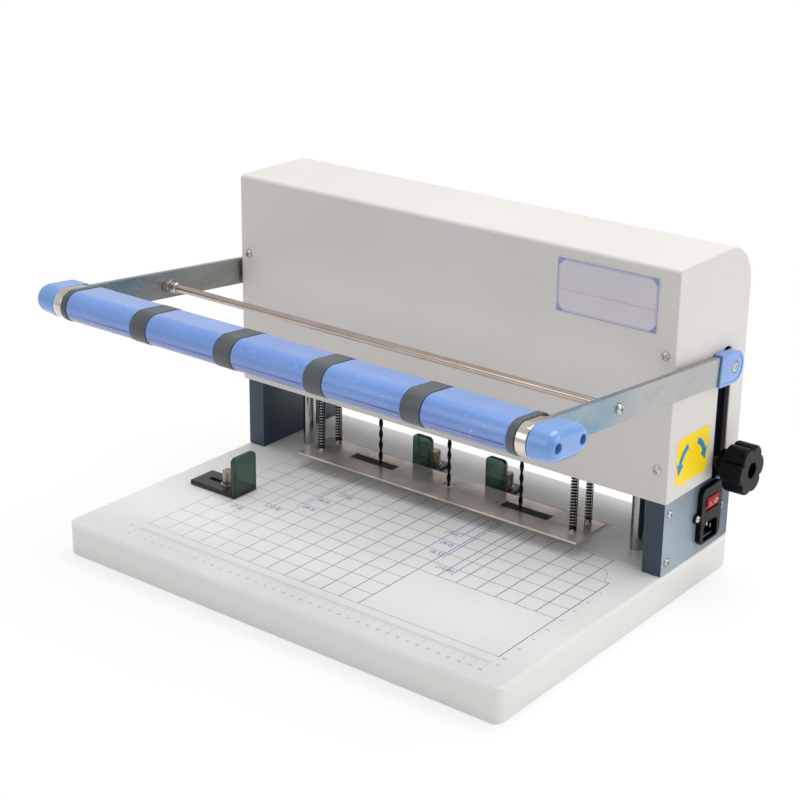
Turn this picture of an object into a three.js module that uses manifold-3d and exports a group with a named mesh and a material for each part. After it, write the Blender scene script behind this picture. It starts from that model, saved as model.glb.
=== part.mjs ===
// Three-spindle paper drilling and binding machine for an office or copy-shop counter.
// Millimetres. +X is the operator's right, -Y is towards the operator, +Z is up.
// The origin is the centre of the base board's flat underside.
import * as THREE from 'three';
import { mergeVertices } from 'three/addons/utils/BufferGeometryUtils.js';
import Module from 'manifold-3d';

const wasm = await Module();
wasm.setup();

// Turns
const halfTurn = Math.PI;
const quarterTurn = halfTurn / 2;
const fullTurn = halfTurn * 2;
const degree = halfTurn / 180;

// Shared clearances
const seatGap = 0.25;
const runGap = 0.35;
const overrun = 5;

// Facet counts
const arcSteps = 4;
const fineSteps = 6;
const roundSteps = 14;
const smallSteps = 10;

// Base board and the replaceable strip that the bits end in
const boardWidth = 470;
const boardDepth = 356;
const boardThickness = 32;
const boardCornerRadius = 10;
const boardEdgeRadius = 4;
const boardEdgeSteps = 1;
const stripLength = 300;
const stripWidth = 22;
const stripThickness = 6;

// Heights that stack up from the table top
const tableTop = boardThickness;
const bitLineY = 74;

// Pillars: steel boxes below, side plates above, a flange in front for the cover's screws
const pillarOuterX = 233.8;
const pillarWidth = 18.8;
const pillarFrontY = 59.5;
const pillarRearY = 174.5;
const pillarHeight = 73;
const pillarWall = 2;
const pillarLap = 2;
const sidePlateInnerX = 219;
const sidePlateThickness = 4;
const sidePlateRearY = 172;
const sidePlateDrop = 10;
const sidePlateChamfer = 40;
const flangeThickness = 3;
const flangeOuterX = 233;
const flangeFootHeight = 76;

// Guide columns and the beam across their tops
const columnX = 188;
const columnY = 96.5;
const columnRadius = 6;
const columnSeatDepth = 12;
const columnProud = 4;
const beamFrontY = 82;
const beamRearY = 132;
const beamDrop = 28;
const beamThickness = 10;

// Housing cover: a sheet shell open below, with a slot in each side
const coverHalfWidth = 236.5;
const coverFrontY = 55.5;
const coverRearY = 178;
const coverBottomHeight = 69;
const coverTopHeight = 272;
const coverWall = 1.2;
const coverFrontRadius = 4;
const coverRearRadius = 40;
const coverSlotWidth = 22;
const coverSlotTopHeight = 185;

// Lever pivot, swing and cranks
const pivotY = 143.5;
const pivotHeight = 168.5;
const swing = 30 * degree;
const carriageTravel = 12.7;
const shaftRadius = 7;
const shaftEndRadius = 5;
const shaftEndX = 245.2;
const crankInnerX = 210.3;
const crankThickness = 6;
const crankEyeRadius = 11;
const crankPinEyeRadius = 9;
const crankPinRadius = 4;
const crankPinTipX = 199.5;

// Lever arms
const armInnerX = 239;
const armThickness = 5;
const armWidth = 25;
const handleAxisY = -147.5;
const handleAxisHeight = 196;
const armBossInnerX = 236;
const armBossOuterX = 245.7;
const armBossLength = 44;
const armBossWidth = 26.2;

// Blue covers over the rear ends of the arms
const armCapInnerX = 238;
const armCapOuterX = 246;
const armCapWallTop = 1.6;
const armCapFrontReach = 25.5;
const armCapHoleRadius = 5.6;

// Cross rod between the arms
const rodReach = 186.3;
const crossRodRadius = 3.5;
const rodNutRadius = 6.5;
const rodNutThickness = 6;
const rodNutSides = 6;

// Handle: oval grip, grey bands, end caps
const gripDepth = 50;
const gripHeight = 27;
const gripHalfLength = 229;
const bandWidth = 18;
const bandInnerX = 47.5;
const bandOuterX = 142.5;
const bandGroove = 1.5;
const bandProud = 0.4;
const endBandOuterX = 235.6;
const endCapInnerX = 246;
const endCapOuterX = 268.5;
const endCapHoleSpacing = 32.5;
const endCapHoleRadius = 4;
const endCapHoleDepth = 9;

// Carriage plate that slides on the columns
const plateBottomHeight = 72;
const plateThickness = 10;
const plateHalfWidth = 207.5;
const plateFrontY = 58.5;
const plateRearY = 134;
const yokeThickness = 6;
const yokeWidth = 29;
const yokeAbovePin = 10;
const yokeSlotSpare = 0.8;
const lugInnerX = 129;
const lugThickness = 10;
const lugSize = 20;
const bushRadius = 9.5;
const bushFlangeRadius = 12;
const bushFlangeThickness = 4;
const bushHeight = 30;
const bushBelow = 2;

// Pitch screw and star knob
const screwY = 143.5;
const screwHeight = 80;
const pitchScrewRadius = 4;
const pitchCollarRadius = 6.5;
const pitchCollarThickness = 3;
const knobHubInnerX = 239.5;
const knobHubLength = 9.5;
const knobHubRadius = 12.5;
const knobBodyLength = 20;
const knobBodyRadius = 20.6;
const knobLobeHeight = 1.9;
const knobLobes = 6;
const knobLobeSteps = 6;
const knobRecessRadius = 7;
const knobRecessDepth = 4.5;
const knobBoreDepth = 22.5;

// Drill units: bracket, motor, spindle with collet chuck, bit
const holePitch = 80;
const pitchInward = 15;
const pitchOutward = 28;
const unitWidth = 34;
const bracketFootThickness = 6;
const bracketTopThickness = 4;
const bracketTopHeight = 48;
const spindleHousingRadius = 12;
const nutLugWidth = 16;
const nutLugDepth = 15.5;
const nutLugDrop = 10;
const spindleRadius = 6;
const chuckRadius = 8;
const chuckNoseRadius = 5;
const chuckNoseLength = 4;
const chuckBottomHeight = 63;
const chuckTopDrop = 3;
const chuckBoreDepth = 16;
const spindleSlotHalfWidth = 9.5;
const motorRadius = 17;
const motorLength = 50;
const motorBossRadius = 6;
const motorBossLength = 4;
const bitRadius = 2;
const bitWebShare = 0.55;
const bitTipShare = 0.18;
const bitTipLength = 1.4;
const bitTipHeight = 13;
const bitFluteLength = 44;
const bitFluteLead = 22;
const bitFluteSteps = 14;
const bitSides = 8;

// Pressure plate, its guide rods and springs
const clampHalfWidth = 158;
const clampFrontY = 44.5;
const clampRearY = 94;
const clampThickness = 2;
const clampTopHeight = 15;
const clampSlotInnerX = 61;
const clampSlotOuterX = 113;
const clampSlotWidth = 14;
const clampHoleRadius = 6;
const rodInset = 15;
const rodFrontY = 62.5;
const rodRearY = 87.5;
const rodRadius = 2;
const rodFootRadius = 3.6;
const rodFootThickness = 1.5;
const rodCollarRadius = 4.5;
const rodCollarThickness = 3;
const rodAboveCollar = 3;
const clampSpringWire = 1.1;
const clampSpringMeanRadius = 3.1;
const clampSpringCoils = 18;

// Return springs between the carriage's yokes and the beam
const returnSpringWire = 1.2;
const returnSpringMeanRadius = 4;
const returnSpringCoils = 5;
const springStepsPerCoil = 8;
const springSides = 5;

// Power inlet with rocker switch
const inletY = 134;
const inletHeight = 35.5;
const bezelWidth = 36;
const bezelHeight = 53;
const bezelChamfer = 4.5;
const bezelFaceX = 238.6;
const earThickness = 2.2;
const earSpacing = 40;
const earRadius = 4.5;
const inletBodyWidth = 26;
const inletBodyHeight = 46;
const inletBodyInnerX = 217.4;
const socketWidth = 24;
const socketHeight = 17.4;
const socketChamfer = 4;
const socketDrop = 15.5;
const socketFloorX = 221;
const pinTipX = 235;
const pinWidth = 2;
const pinHeight = 4;
const pinSpacing = 14;
const pinRaise = 4;
const rockerRaise = 10.5;
const rockerWidth = 20;
const rockerHalfHeight = 6.3;
const rockerAxisX = 237;
const rockerRimReach = 1.4;
const rockerApexReach = 3;
const rockerTilt = 8 * degree;

// Paper gauges and their thumbscrews
const gaugeThickness = 4.5;
const gaugeHeight = 39.5;
const gaugeCornerRadius = 5;
const gaugeSlotWidth = 5;
const sideGaugeX = -151;
const sideGaugeY = -36.5;
const sideGaugeWidth = 30;
const sideGaugeFoot = 56;
const sideGaugeScrewSetback = 21;
const sideGaugeSlotFront = 13;
const sideGaugeSlotLength = 32;
const backGaugeY = 103.5;
const backGaugeLeftX = -54;
const backGaugeRightX = 31;
const backGaugeWidth = 22;
const backGaugeFoot = 32;
const backGaugeScrewSetback = 21;
const backGaugeSlotFront = 8;
const backGaugeSlotLength = 18;
const thumbHeadRadius = 5.75;
const thumbHeadHeight = 13;
const thumbWasherSpace = 1.3;
const thumbSlotWidth = 1.4;
const thumbSlotDepth = 2.5;
const thumbShankRadius = 2;
const thumbShankDepth = 10;
const thumbSeatDepth = 12;

// Derived heights and places
const pivotZ = tableTop + pivotHeight;
const plateBottomZ = tableTop + plateBottomHeight;
const plateTopZ = plateBottomZ + plateThickness;
const screwZ = tableTop + screwHeight;
const sidePlateHeight = coverTopHeight - sidePlateDrop;
const beamHeight = coverTopHeight - beamDrop;
const beamZ = tableTop + beamHeight;
const columnTopHeight = beamHeight + beamThickness + columnProud;
const clampTopZ = tableTop + clampTopHeight;
const rodX = clampHalfWidth - rodInset;
const leverTilt = Math.atan2(handleAxisHeight - pivotHeight, pivotY - handleAxisY);
const armLength = Math.hypot(handleAxisHeight - pivotHeight, pivotY - handleAxisY);
const crankRest = swing / 2;
const crankRadius = carriageTravel / (2 * Math.sin(crankRest));
const pinRestY = pivotY - crankRadius * Math.cos(crankRest);
const pinRestZ = pivotZ + crankRadius * Math.sin(crankRest);
const pinFarY = pivotY - crankRadius;
const yokeSlotHalfLength = (pinRestY - pinFarY) / 2 + crankPinRadius + yokeSlotSpare;
const yokeCentreY = (pinRestY + pinFarY) / 2;
const yokeTopZ = pinRestZ + yokeAbovePin;
const yokeX = plateHalfWidth - yokeThickness / 2;

// Materials
const finish = (color, roughness, metalness, opacity = 1) => new THREE.MeshStandardMaterial({
  color, roughness, metalness, opacity, transparent: opacity < 1,
});
const materials = {
  board: finish(0xe9ebec, 0.3, 0),
  strip: finish(0xdfe0da, 0.6, 0),
  slate: finish(0x33434f, 0.45, 0.3),
  steel: finish(0xb4b6b8, 0.35, 1),
  aluminium: finish(0xc4c7ca, 0.4, 1),
  chrome: finish(0xd2d4d6, 0.12, 1),
  cover: finish(0xd9d7d4, 0.42, 0),
  blackPlastic: finish(0x101113, 0.45, 0),
  red: finish(0xc8141e, 0.3, 0),
  zinc: finish(0xaab0b3, 0.38, 1),
  blue: finish(0x7f9be0, 0.28, 0),
  grey: finish(0x63666a, 0.5, 0),
  blackSteel: finish(0x17181a, 0.35, 0.9),
  motor: finish(0x9b9ea1, 0.4, 0.9),
  mirror: finish(0xcfc9c6, 0.08, 1),
  smoke: finish(0x27463a, 0.12, 0, 0.85),
  brass: finish(0xb59a63, 0.35, 1),
  spring: finish(0x6d5a48, 0.4, 1),
};

// Solids: a closed mesh with its shared vertices merged
function solidOf(geometry) {
  geometry.deleteAttribute('normal');
  geometry.deleteAttribute('uv');
  const merged = mergeVertices(geometry);
  const index = merged.index.array;
  const triangles = [];
  for (let i = 0; i < index.length; i += 3) {
    const [a, b, c] = [index[i], index[i + 1], index[i + 2]];
    if (a !== b && b !== c && c !== a) triangles.push(a, b, c);
  }
  return new wasm.Manifold(new wasm.Mesh({
    numProp: 3,
    vertProperties: merged.attributes.position.array,
    triVerts: Uint32Array.from(triangles),
  }));
}

function geometryOf(solid) {
  const mesh = solid.getMesh();
  const geometry = new THREE.BufferGeometry();
  geometry.setAttribute('position', new THREE.BufferAttribute(mesh.vertProperties, 3));
  geometry.setIndex(new THREE.BufferAttribute(mesh.triVerts, 1));
  geometry.computeVertexNormals();
  return geometry;
}

const join = (first, ...rest) => rest.reduce((sum, solid) => sum.add(solid), first);
const cut = (first, ...rest) => rest.reduce((body, solid) => body.subtract(solid), first);

// Axis frames: x draws in (Y, Z), y draws in (Z, X), z draws in (X, Y)
const unitX = new THREE.Vector3(1, 0, 0);
const unitY = new THREE.Vector3(0, 1, 0);
const unitZ = new THREE.Vector3(0, 0, 1);
const axisFrames = {
  x: new THREE.Matrix4().makeBasis(unitY, unitZ, unitX),
  y: new THREE.Matrix4().makeBasis(unitZ, unitX, unitY),
  z: new THREE.Matrix4(),
};

function block(xs, ys, zs) {
  const middle = ([low, high]) => (low + high) / 2;
  const span = ([low, high]) => high - low;
  const geometry = new THREE.BoxGeometry(span(xs), span(ys), span(zs));
  geometry.translate(middle(xs), middle(ys), middle(zs));
  return solidOf(geometry);
}

function prism(axis, outline, [from, to], steps = arcSteps) {
  const geometry = new THREE.ExtrudeGeometry(outline, {
    depth: to - from,
    bevelEnabled: false,
    curveSegments: steps,
  });
  geometry.translate(0, 0, from);
  geometry.applyMatrix4(axisFrames[axis]);
  return solidOf(geometry);
}

function bar(axis, radius, [u, v], [from, to], steps = roundSteps) {
  const geometry = new THREE.CylinderGeometry(radius, radius, to - from, steps);
  geometry.rotateX(quarterTurn);
  geometry.translate(u, v, (from + to) / 2);
  geometry.applyMatrix4(axisFrames[axis]);
  return solidOf(geometry);
}

// A turned piece: profile points are radius and height, from axis to axis
function turned(profile, steps = roundSteps) {
  const geometry = new THREE.LatheGeometry(profile.map(([r, h]) => new THREE.Vector2(r, h)), steps);
  geometry.rotateX(quarterTurn);
  return solidOf(geometry);
}

// Outlines
function capsule(from, to, v, radius) {
  const outline = new THREE.Shape();
  outline.absarc(to, v, radius, -quarterTurn, quarterTurn, false);
  outline.absarc(from, v, radius, quarterTurn, halfTurn + quarterTurn, false);
  return outline;
}

function roundedOutline([u0, u1], [v0, v1], [lowLow, highLow, highHigh, lowHigh]) {
  const outline = new THREE.Shape();
  const corner = (u, v, radius, start) => {
    if (radius > 0) outline.absarc(u, v, radius, start, start + quarterTurn, false);
    else outline.lineTo(u, v);
  };
  outline.moveTo(u0 + lowLow, v0);
  corner(u1 - highLow, v0 + highLow, highLow, -quarterTurn);
  corner(u1 - highHigh, v1 - highHigh, highHigh, 0);
  corner(u0 + lowHigh, v1 - lowHigh, lowHigh, quarterTurn);
  corner(u0 + lowLow, v0 + lowLow, lowLow, halfTurn);
  return outline;
}

function chamferedOutline(halfU, halfV, chamfer, lowChamfer = chamfer) {
  return new THREE.Shape([
    new THREE.Vector2(-halfU + lowChamfer, -halfV),
    new THREE.Vector2(halfU - lowChamfer, -halfV),
    new THREE.Vector2(halfU, -halfV + lowChamfer),
    new THREE.Vector2(halfU, halfV - chamfer),
    new THREE.Vector2(halfU - chamfer, halfV),
    new THREE.Vector2(-halfU + chamfer, halfV),
    new THREE.Vector2(-halfU, halfV - chamfer),
    new THREE.Vector2(-halfU, -halfV + lowChamfer),
  ]);
}

// Skin over a row of rings with equal point counts, closed by a flat fan at each end
function skin(rings) {
  const sides = rings[0].length;
  const positions = rings.flat().flatMap((point) => point.toArray());
  const index = [];
  for (let ring = 0; ring + 1 < rings.length; ring += 1) {
    for (let side = 0; side < sides; side += 1) {
      const next = (side + 1) % sides;
      const a = ring * sides + side;
      const b = ring * sides + next;
      index.push(a, b, a + sides, b, b + sides, a + sides);
    }
  }
  const last = (rings.length - 1) * sides;
  for (let side = 1; side + 1 < sides; side += 1) {
    index.push(0, side + 1, side, last, last + side, last + side + 1);
  }
  const geometry = new THREE.BufferGeometry();
  geometry.setAttribute('position', new THREE.Float32BufferAttribute(positions, 3));
  geometry.setIndex(index);
  geometry.computeVertexNormals();
  return geometry;
}

// Helical spring standing on z = 0, its ends straight up for one wire diameter
function helicalSpring(name, length, coils, meanRadius, wire, phase) {
  const steps = coils * springStepsPerCoil;
  const at = (step, height) => {
    const angle = phase + (step / springStepsPerCoil) * fullTurn;
    return new THREE.Vector3(meanRadius * Math.cos(angle), meanRadius * Math.sin(angle), height);
  };
  const path = [at(0, 0)];
  for (let step = 0; step <= steps; step += 1) {
    path.push(at(step, wire + (length - 2 * wire) * (step / steps)));
  }
  path.push(at(steps, length));
  let leastGap = Infinity;
  for (let i = 1; i < path.length; i += 1) {
    for (let j = i + springStepsPerCoil / 2; j < path.length; j += 1) {
      leastGap = Math.min(leastGap, path[i].distanceTo(path[j]) - wire);
    }
  }
  console.log(`${name}: least gap between turns ${leastGap.toFixed(2)} mm`);
  const rings = path.map((point, i) => {
    const into = i > 0 ? point.clone().sub(path[i - 1]).normalize() : unitZ.clone();
    const out = i + 1 < path.length ? path[i + 1].clone().sub(point).normalize() : unitZ.clone();
    const tangent = into.add(out).normalize();
    const normal = new THREE.Vector3(point.x, point.y, 0).normalize();
    normal.addScaledVector(tangent, -normal.dot(tangent)).normalize();
    const binormal = new THREE.Vector3().crossVectors(tangent, normal);
    return Array.from({ length: springSides }, (_, side) => {
      const angle = (side / springSides) * fullTurn;
      return point.clone()
        .addScaledVector(normal, (wire / 2) * Math.cos(angle))
        .addScaledVector(binormal, (wire / 2) * Math.sin(angle));
    });
  });
  return skin(rings);
}

// Scene helpers
const machine = new THREE.Group();

function addPiece(parent, name, material, shape, position = [0, 0, 0]) {
  const geometry = shape.isBufferGeometry ? shape : geometryOf(shape);
  const mesh = new THREE.Mesh(geometry, material.clone());
  mesh.name = name;
  mesh.position.set(...position);
  parent.add(mesh);
  return mesh;
}

function addGroup(parent, position) {
  const group = new THREE.Group();
  group.position.set(...position);
  parent.add(group);
  return group;
}

const sides = [['left', -1], ['right', 1]];
const spanX = (side, inner, outer) => (side > 0 ? [inner, outer] : [-outer, -inner]);

// Gauge places, shared by the gauges, their thumbscrews and the board's threaded holes
const gauges = [
  {
    name: 'side_gauge', screw: 'side_gauge_screw', x: sideGaugeX, y: sideGaugeY, turn: 0,
    width: sideGaugeWidth, foot: sideGaugeFoot, setback: sideGaugeScrewSetback,
    slotFront: sideGaugeSlotFront, slotLength: sideGaugeSlotLength,
  },
  ...[['left', backGaugeLeftX], ['right', backGaugeRightX]].map(([label, x]) => ({
    name: `${label}_back_gauge`, screw: `${label}_back_gauge_screw`, x, y: backGaugeY,
    turn: -quarterTurn, width: backGaugeWidth, foot: backGaugeFoot,
    setback: backGaugeScrewSetback, slotFront: backGaugeSlotFront,
    slotLength: backGaugeSlotLength,
  })),
];
const screwPlace = (gauge) => [
  gauge.x - gauge.setback * Math.cos(gauge.turn),
  gauge.y - gauge.setback * Math.sin(gauge.turn),
];

// Base board with the strip's groove, the column seats and the gauges' threaded holes
function makeBoard() {
  const halfWidth = boardWidth / 2;
  const halfDepth = boardDepth / 2;
  const outline = roundedOutline(
    [-halfWidth, halfWidth],
    [-halfDepth, halfDepth],
    [boardCornerRadius, boardCornerRadius, boardCornerRadius, boardCornerRadius],
  );
  const geometry = new THREE.ExtrudeGeometry(outline, {
    depth: boardThickness - 2 * boardEdgeRadius,
    bevelThickness: boardEdgeRadius,
    bevelSize: boardEdgeRadius,
    bevelOffset: -boardEdgeRadius,
    bevelSegments: boardEdgeSteps,
    curveSegments: arcSteps,
  });
  geometry.translate(0, 0, boardEdgeRadius);
  const grooveHalfLength = stripLength / 2 + seatGap;
  const grooveHalfWidth = stripWidth / 2 + seatGap;
  const groove = block(
    [-grooveHalfLength, grooveHalfLength],
    [bitLineY - grooveHalfWidth, bitLineY + grooveHalfWidth],
    [tableTop - stripThickness - seatGap, tableTop + overrun],
  );
  const seats = sides.map(([, side]) => bar(
    'z', columnRadius + seatGap, [side * columnX, columnY],
    [tableTop - columnSeatDepth, tableTop + overrun], roundSteps,
  ));
  const holes = gauges.map((gauge) => bar(
    'z', thumbShankRadius + runGap, screwPlace(gauge),
    [tableTop - thumbSeatDepth, tableTop + overrun], smallSteps,
  ));
  return cut(solidOf(geometry), groove, ...seats, ...holes);
}

function makeStrip() {
  return block(
    [-stripLength / 2, stripLength / 2], [-stripWidth / 2, stripWidth / 2], [-stripThickness, 0],
  );
}

// Pillar: open-bottomed steel box, side plate and cover flange in one welded piece
function makePillar(side) {
  const innerX = pillarOuterX - pillarWidth;
  const boxTop = tableTop + pillarHeight;
  const plateTop = tableTop + sidePlateHeight;
  const flangeFrontY = coverFrontY + coverWall + runGap;
  const shell = cut(
    block(spanX(side, innerX, pillarOuterX), [pillarFrontY, pillarRearY], [tableTop + seatGap, boxTop]),
    block(
      spanX(side, innerX + pillarWall, pillarOuterX - pillarWall),
      [pillarFrontY + pillarWall, pillarRearY - pillarWall],
      [tableTop - overrun, boxTop - pillarWall],
    ),
  );
  const plateOutline = new THREE.Shape([
    new THREE.Vector2(flangeFrontY, tableTop + flangeFootHeight),
    new THREE.Vector2(pillarFrontY, tableTop + flangeFootHeight),
    new THREE.Vector2(pillarFrontY, boxTop - pillarLap),
    new THREE.Vector2(sidePlateRearY, boxTop - pillarLap),
    new THREE.Vector2(sidePlateRearY, plateTop - sidePlateChamfer),
    new THREE.Vector2(sidePlateRearY - sidePlateChamfer, plateTop),
    new THREE.Vector2(flangeFrontY, plateTop),
  ]);
  const plateOuterX = sidePlateInnerX + sidePlateThickness;
  const plate = prism('x', plateOutline, spanX(side, sidePlateInnerX, plateOuterX));
  const flange = block(
    spanX(side, sidePlateInnerX, flangeOuterX),
    [flangeFrontY, flangeFrontY + flangeThickness],
    [tableTop + flangeFootHeight, plateTop],
  );
  const through = spanX(side, innerX - overrun, pillarOuterX + overrun);
  const pivotBore = bar('x', shaftRadius + runGap, [pivotY, pivotZ], through);
  let pillar = cut(join(shell, plate, flange), pivotBore);
  if (side > 0) {
    const halfWidth = pitchScrewRadius + runGap;
    const screwSlot = roundedOutline(
      [screwY - halfWidth, screwY + halfWidth],
      [screwZ - carriageTravel - halfWidth, screwZ + halfWidth],
      [0, 0, 0, 0],
    );
    const panel = block(
      [pillarOuterX - pillarWall - overrun, pillarOuterX + overrun],
      [inletY - inletBodyWidth / 2 - seatGap, inletY + inletBodyWidth / 2 + seatGap],
      [
        tableTop + inletHeight - inletBodyHeight / 2 - seatGap,
        tableTop + inletHeight + inletBodyHeight / 2 + seatGap,
      ],
    );
    pillar = cut(pillar, prism('x', screwSlot, through), panel);
  }
  return pillar;
}

function makeColumn() {
  return bar('z', columnRadius, [0, 0], [seatGap - columnSeatDepth, columnTopHeight]);
}

function makeBeam() {
  const halfWidth = sidePlateInnerX - seatGap;
  const bores = sides.map(([, side]) => bar(
    'z', columnRadius + seatGap, [side * columnX, columnY], [-overrun, beamThickness + overrun],
  ));
  return cut(
    block([-halfWidth, halfWidth], [beamFrontY, beamRearY], [0, beamThickness]), ...bores,
  );
}

function makeCover() {
  const bottom = tableTop + coverBottomHeight;
  const top = tableTop + coverTopHeight;
  const outer = roundedOutline(
    [coverFrontY, coverRearY], [bottom, top], [0, 0, coverRearRadius, coverFrontRadius],
  );
  const inner = roundedOutline(
    [coverFrontY + coverWall, coverRearY - coverWall],
    [bottom - overrun, top - coverWall],
    [0, 0, coverRearRadius - coverWall, coverFrontRadius - coverWall],
  );
  const innerHalfWidth = coverHalfWidth - coverWall;
  const slotRadius = coverSlotWidth / 2;
  const slotTop = tableTop + coverSlotTopHeight;
  const slot = roundedOutline(
    [pivotY - slotRadius, pivotY + slotRadius], [bottom - overrun, slotTop],
    [0, 0, slotRadius - seatGap, slotRadius - seatGap],
  );
  const slots = sides.map(([, side]) => prism(
    'x', slot, spanX(side, innerHalfWidth - overrun, coverHalfWidth + overrun),
  ));
  return cut(
    prism('x', outer, [-coverHalfWidth, coverHalfWidth], fineSteps),
    prism('x', inner, [-innerHalfWidth, innerHalfWidth], fineSteps),
    ...slots,
  );
}

// Power inlet, drawn about the centre of its panel cut-out
function makeInlet() {
  const ear = (side) => bar(
    'x', earRadius, [side * (earSpacing / 2), 0],
    [pillarOuterX + seatGap, pillarOuterX + earThickness], smallSteps,
  );
  const bezel = prism(
    'x', chamferedOutline(bezelWidth / 2, bezelHeight / 2, bezelChamfer),
    [pillarOuterX + seatGap, bezelFaceX],
  );
  const body = block(
    [inletBodyInnerX, bezelFaceX - earThickness],
    [-inletBodyWidth / 2, inletBodyWidth / 2], [-inletBodyHeight / 2, inletBodyHeight / 2],
  );
  const socketShape = prism(
    'x', chamferedOutline(socketWidth / 2, socketHeight / 2, socketChamfer, seatGap),
    [socketFloorX, bezelFaceX + overrun],
  ).translate(0, 0, -socketDrop);
  const pocketReach = Math.hypot(rockerHalfHeight, rockerRimReach) + runGap;
  const pocketHalfWidth = rockerWidth / 2 + runGap;
  const pocket = block(
    [rockerAxisX - pocketReach, bezelFaceX + overrun],
    [-pocketHalfWidth, pocketHalfWidth],
    [rockerRaise - pocketReach, rockerRaise + pocketReach],
  );
  const pin = (y, z) => block(
    [socketFloorX - overrun / 2, pinTipX],
    [y - pinWidth / 2, y + pinWidth / 2], [z - pinHeight / 2, z + pinHeight / 2],
  );
  const shell = cut(join(bezel, ear(-1), ear(1), body), socketShape, pocket);
  return join(
    shell,
    pin(-pinSpacing / 2, -socketDrop), pin(pinSpacing / 2, -socketDrop),
    pin(0, -socketDrop + pinRaise),
  );
}

// Rocker drawn about its own axis: a round back and two facets that meet in a ridge
function makeRocker() {
  const outline = new THREE.Shape();
  outline.moveTo(-rockerHalfHeight, rockerRimReach);
  outline.lineTo(-rockerHalfHeight, 0);
  outline.absarc(0, 0, rockerHalfHeight, halfTurn, fullTurn, false);
  outline.lineTo(rockerHalfHeight, rockerRimReach);
  outline.lineTo(0, rockerApexReach);
  return prism('y', outline, [-rockerWidth / 2, rockerWidth / 2]);
}

// Stub shaft with its crank, pointing forward along -Y from the pivot
function makeCrank(side) {
  const outerFace = crankInnerX + crankThickness;
  const web = new THREE.Shape();
  web.absarc(0, 0, crankEyeRadius, -quarterTurn, quarterTurn, false);
  web.absarc(-crankRadius, 0, crankPinEyeRadius, quarterTurn, halfTurn + quarterTurn, false);
  const shoulderX = armInnerX - runGap;
  return join(
    prism('x', web, spanX(side, crankInnerX, outerFace)),
    bar('x', shaftRadius, [0, 0], spanX(side, crankInnerX, shoulderX)),
    bar('x', shaftEndRadius, [0, 0], spanX(side, crankInnerX, shaftEndX), smallSteps),
    bar('x', crankPinRadius, [-crankRadius, 0], spanX(side, crankPinTipX, outerFace), smallSteps),
  );
}

// Lever arm: a flat bar along -Y, round at the pivot, with a thicker nose inside the handle
function makeArm(side) {
  const noseRadius = armBossWidth / 2;
  const noseCentreY = noseRadius - armLength - gripDepth / 2 + bandProud;
  const flat = prism(
    'x', capsule(noseCentreY, 0, 0, armWidth / 2), spanX(side, armInnerX, armInnerX + armThickness),
  );
  const nose = prism(
    'x', capsule(noseCentreY, noseCentreY + armBossLength - armBossWidth, 0, noseRadius),
    spanX(side, armBossInnerX, armBossOuterX), fineSteps,
  );
  const bore = bar(
    'x', shaftEndRadius + runGap, [0, 0],
    spanX(side, armInnerX - overrun, armInnerX + armThickness + overrun), smallSteps,
  );
  return cut(join(flat, nose), bore);
}

function makeArmCap(side) {
  const innerRadius = armWidth / 2 + runGap;
  const outerRadius = innerRadius + armCapWallTop;
  const wallInnerX = armInnerX + armThickness + runGap;
  const outline = new THREE.Shape();
  outline.moveTo(-armCapFrontReach, -outerRadius);
  outline.absarc(0, 0, outerRadius, -quarterTurn, quarterTurn, false);
  outline.lineTo(-armCapFrontReach, outerRadius);
  return cut(
    prism('x', outline, spanX(side, armCapInnerX, armCapOuterX)),
    prism(
      'x', capsule(-armCapFrontReach - armWidth, 0, 0, innerRadius),
      spanX(side, armCapInnerX - overrun, wallInnerX),
    ),
    bar('x', armCapHoleRadius, [0, 0], spanX(side, armCapInnerX, armCapOuterX + overrun)),
  );
}

function makeCrossRod() {
  const endX = armInnerX - runGap;
  return join(
    bar('x', crossRodRadius, [0, 0], [-endX, endX], smallSteps),
    bar('x', rodNutRadius, [0, 0], [-endX, rodNutThickness - endX], rodNutSides),
  );
}

// Handle pieces share one oval, drawn in (Y, Z) about the handle's axis
function gripOval(grow) {
  const radius = gripHeight / 2 + grow;
  const reach = (gripDepth - gripHeight) / 2;
  return capsule(-reach, reach, 0, radius);
}

function makeGrip() {
  const grooveHalf = bandWidth / 2 + seatGap;
  const grooves = [-bandOuterX, -bandInnerX, bandInnerX, bandOuterX].map((x) => cut(
    prism('x', gripOval(overrun), [x - grooveHalf, x + grooveHalf]),
    prism('x', gripOval(-bandGroove), [x - grooveHalf - overrun, x + grooveHalf + overrun], fineSteps),
  ));
  return cut(prism('x', gripOval(0), [-gripHalfLength, gripHalfLength], fineSteps), ...grooves);
}

function makeBand() {
  return cut(
    prism('x', gripOval(bandProud), [-bandWidth / 2, bandWidth / 2], fineSteps),
    prism(
      'x', gripOval(runGap - bandGroove), [-bandWidth / 2 - overrun, bandWidth / 2 + overrun],
      fineSteps,
    ),
  );
}

function makeEndBand(side) {
  return prism(
    'x', gripOval(bandProud), spanX(side, gripHalfLength + seatGap, endBandOuterX), fineSteps,
  );
}

function makeEndCap(side) {
  const holes = [-1, 1].map((way) => bar(
    'x', endCapHoleRadius, [way * (endCapHoleSpacing / 2), 0],
    spanX(side, endCapOuterX - endCapHoleDepth, endCapOuterX + overrun), smallSteps,
  ));
  return cut(prism('x', gripOval(0), spanX(side, endCapInnerX, endCapOuterX), fineSteps), ...holes);
}

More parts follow.
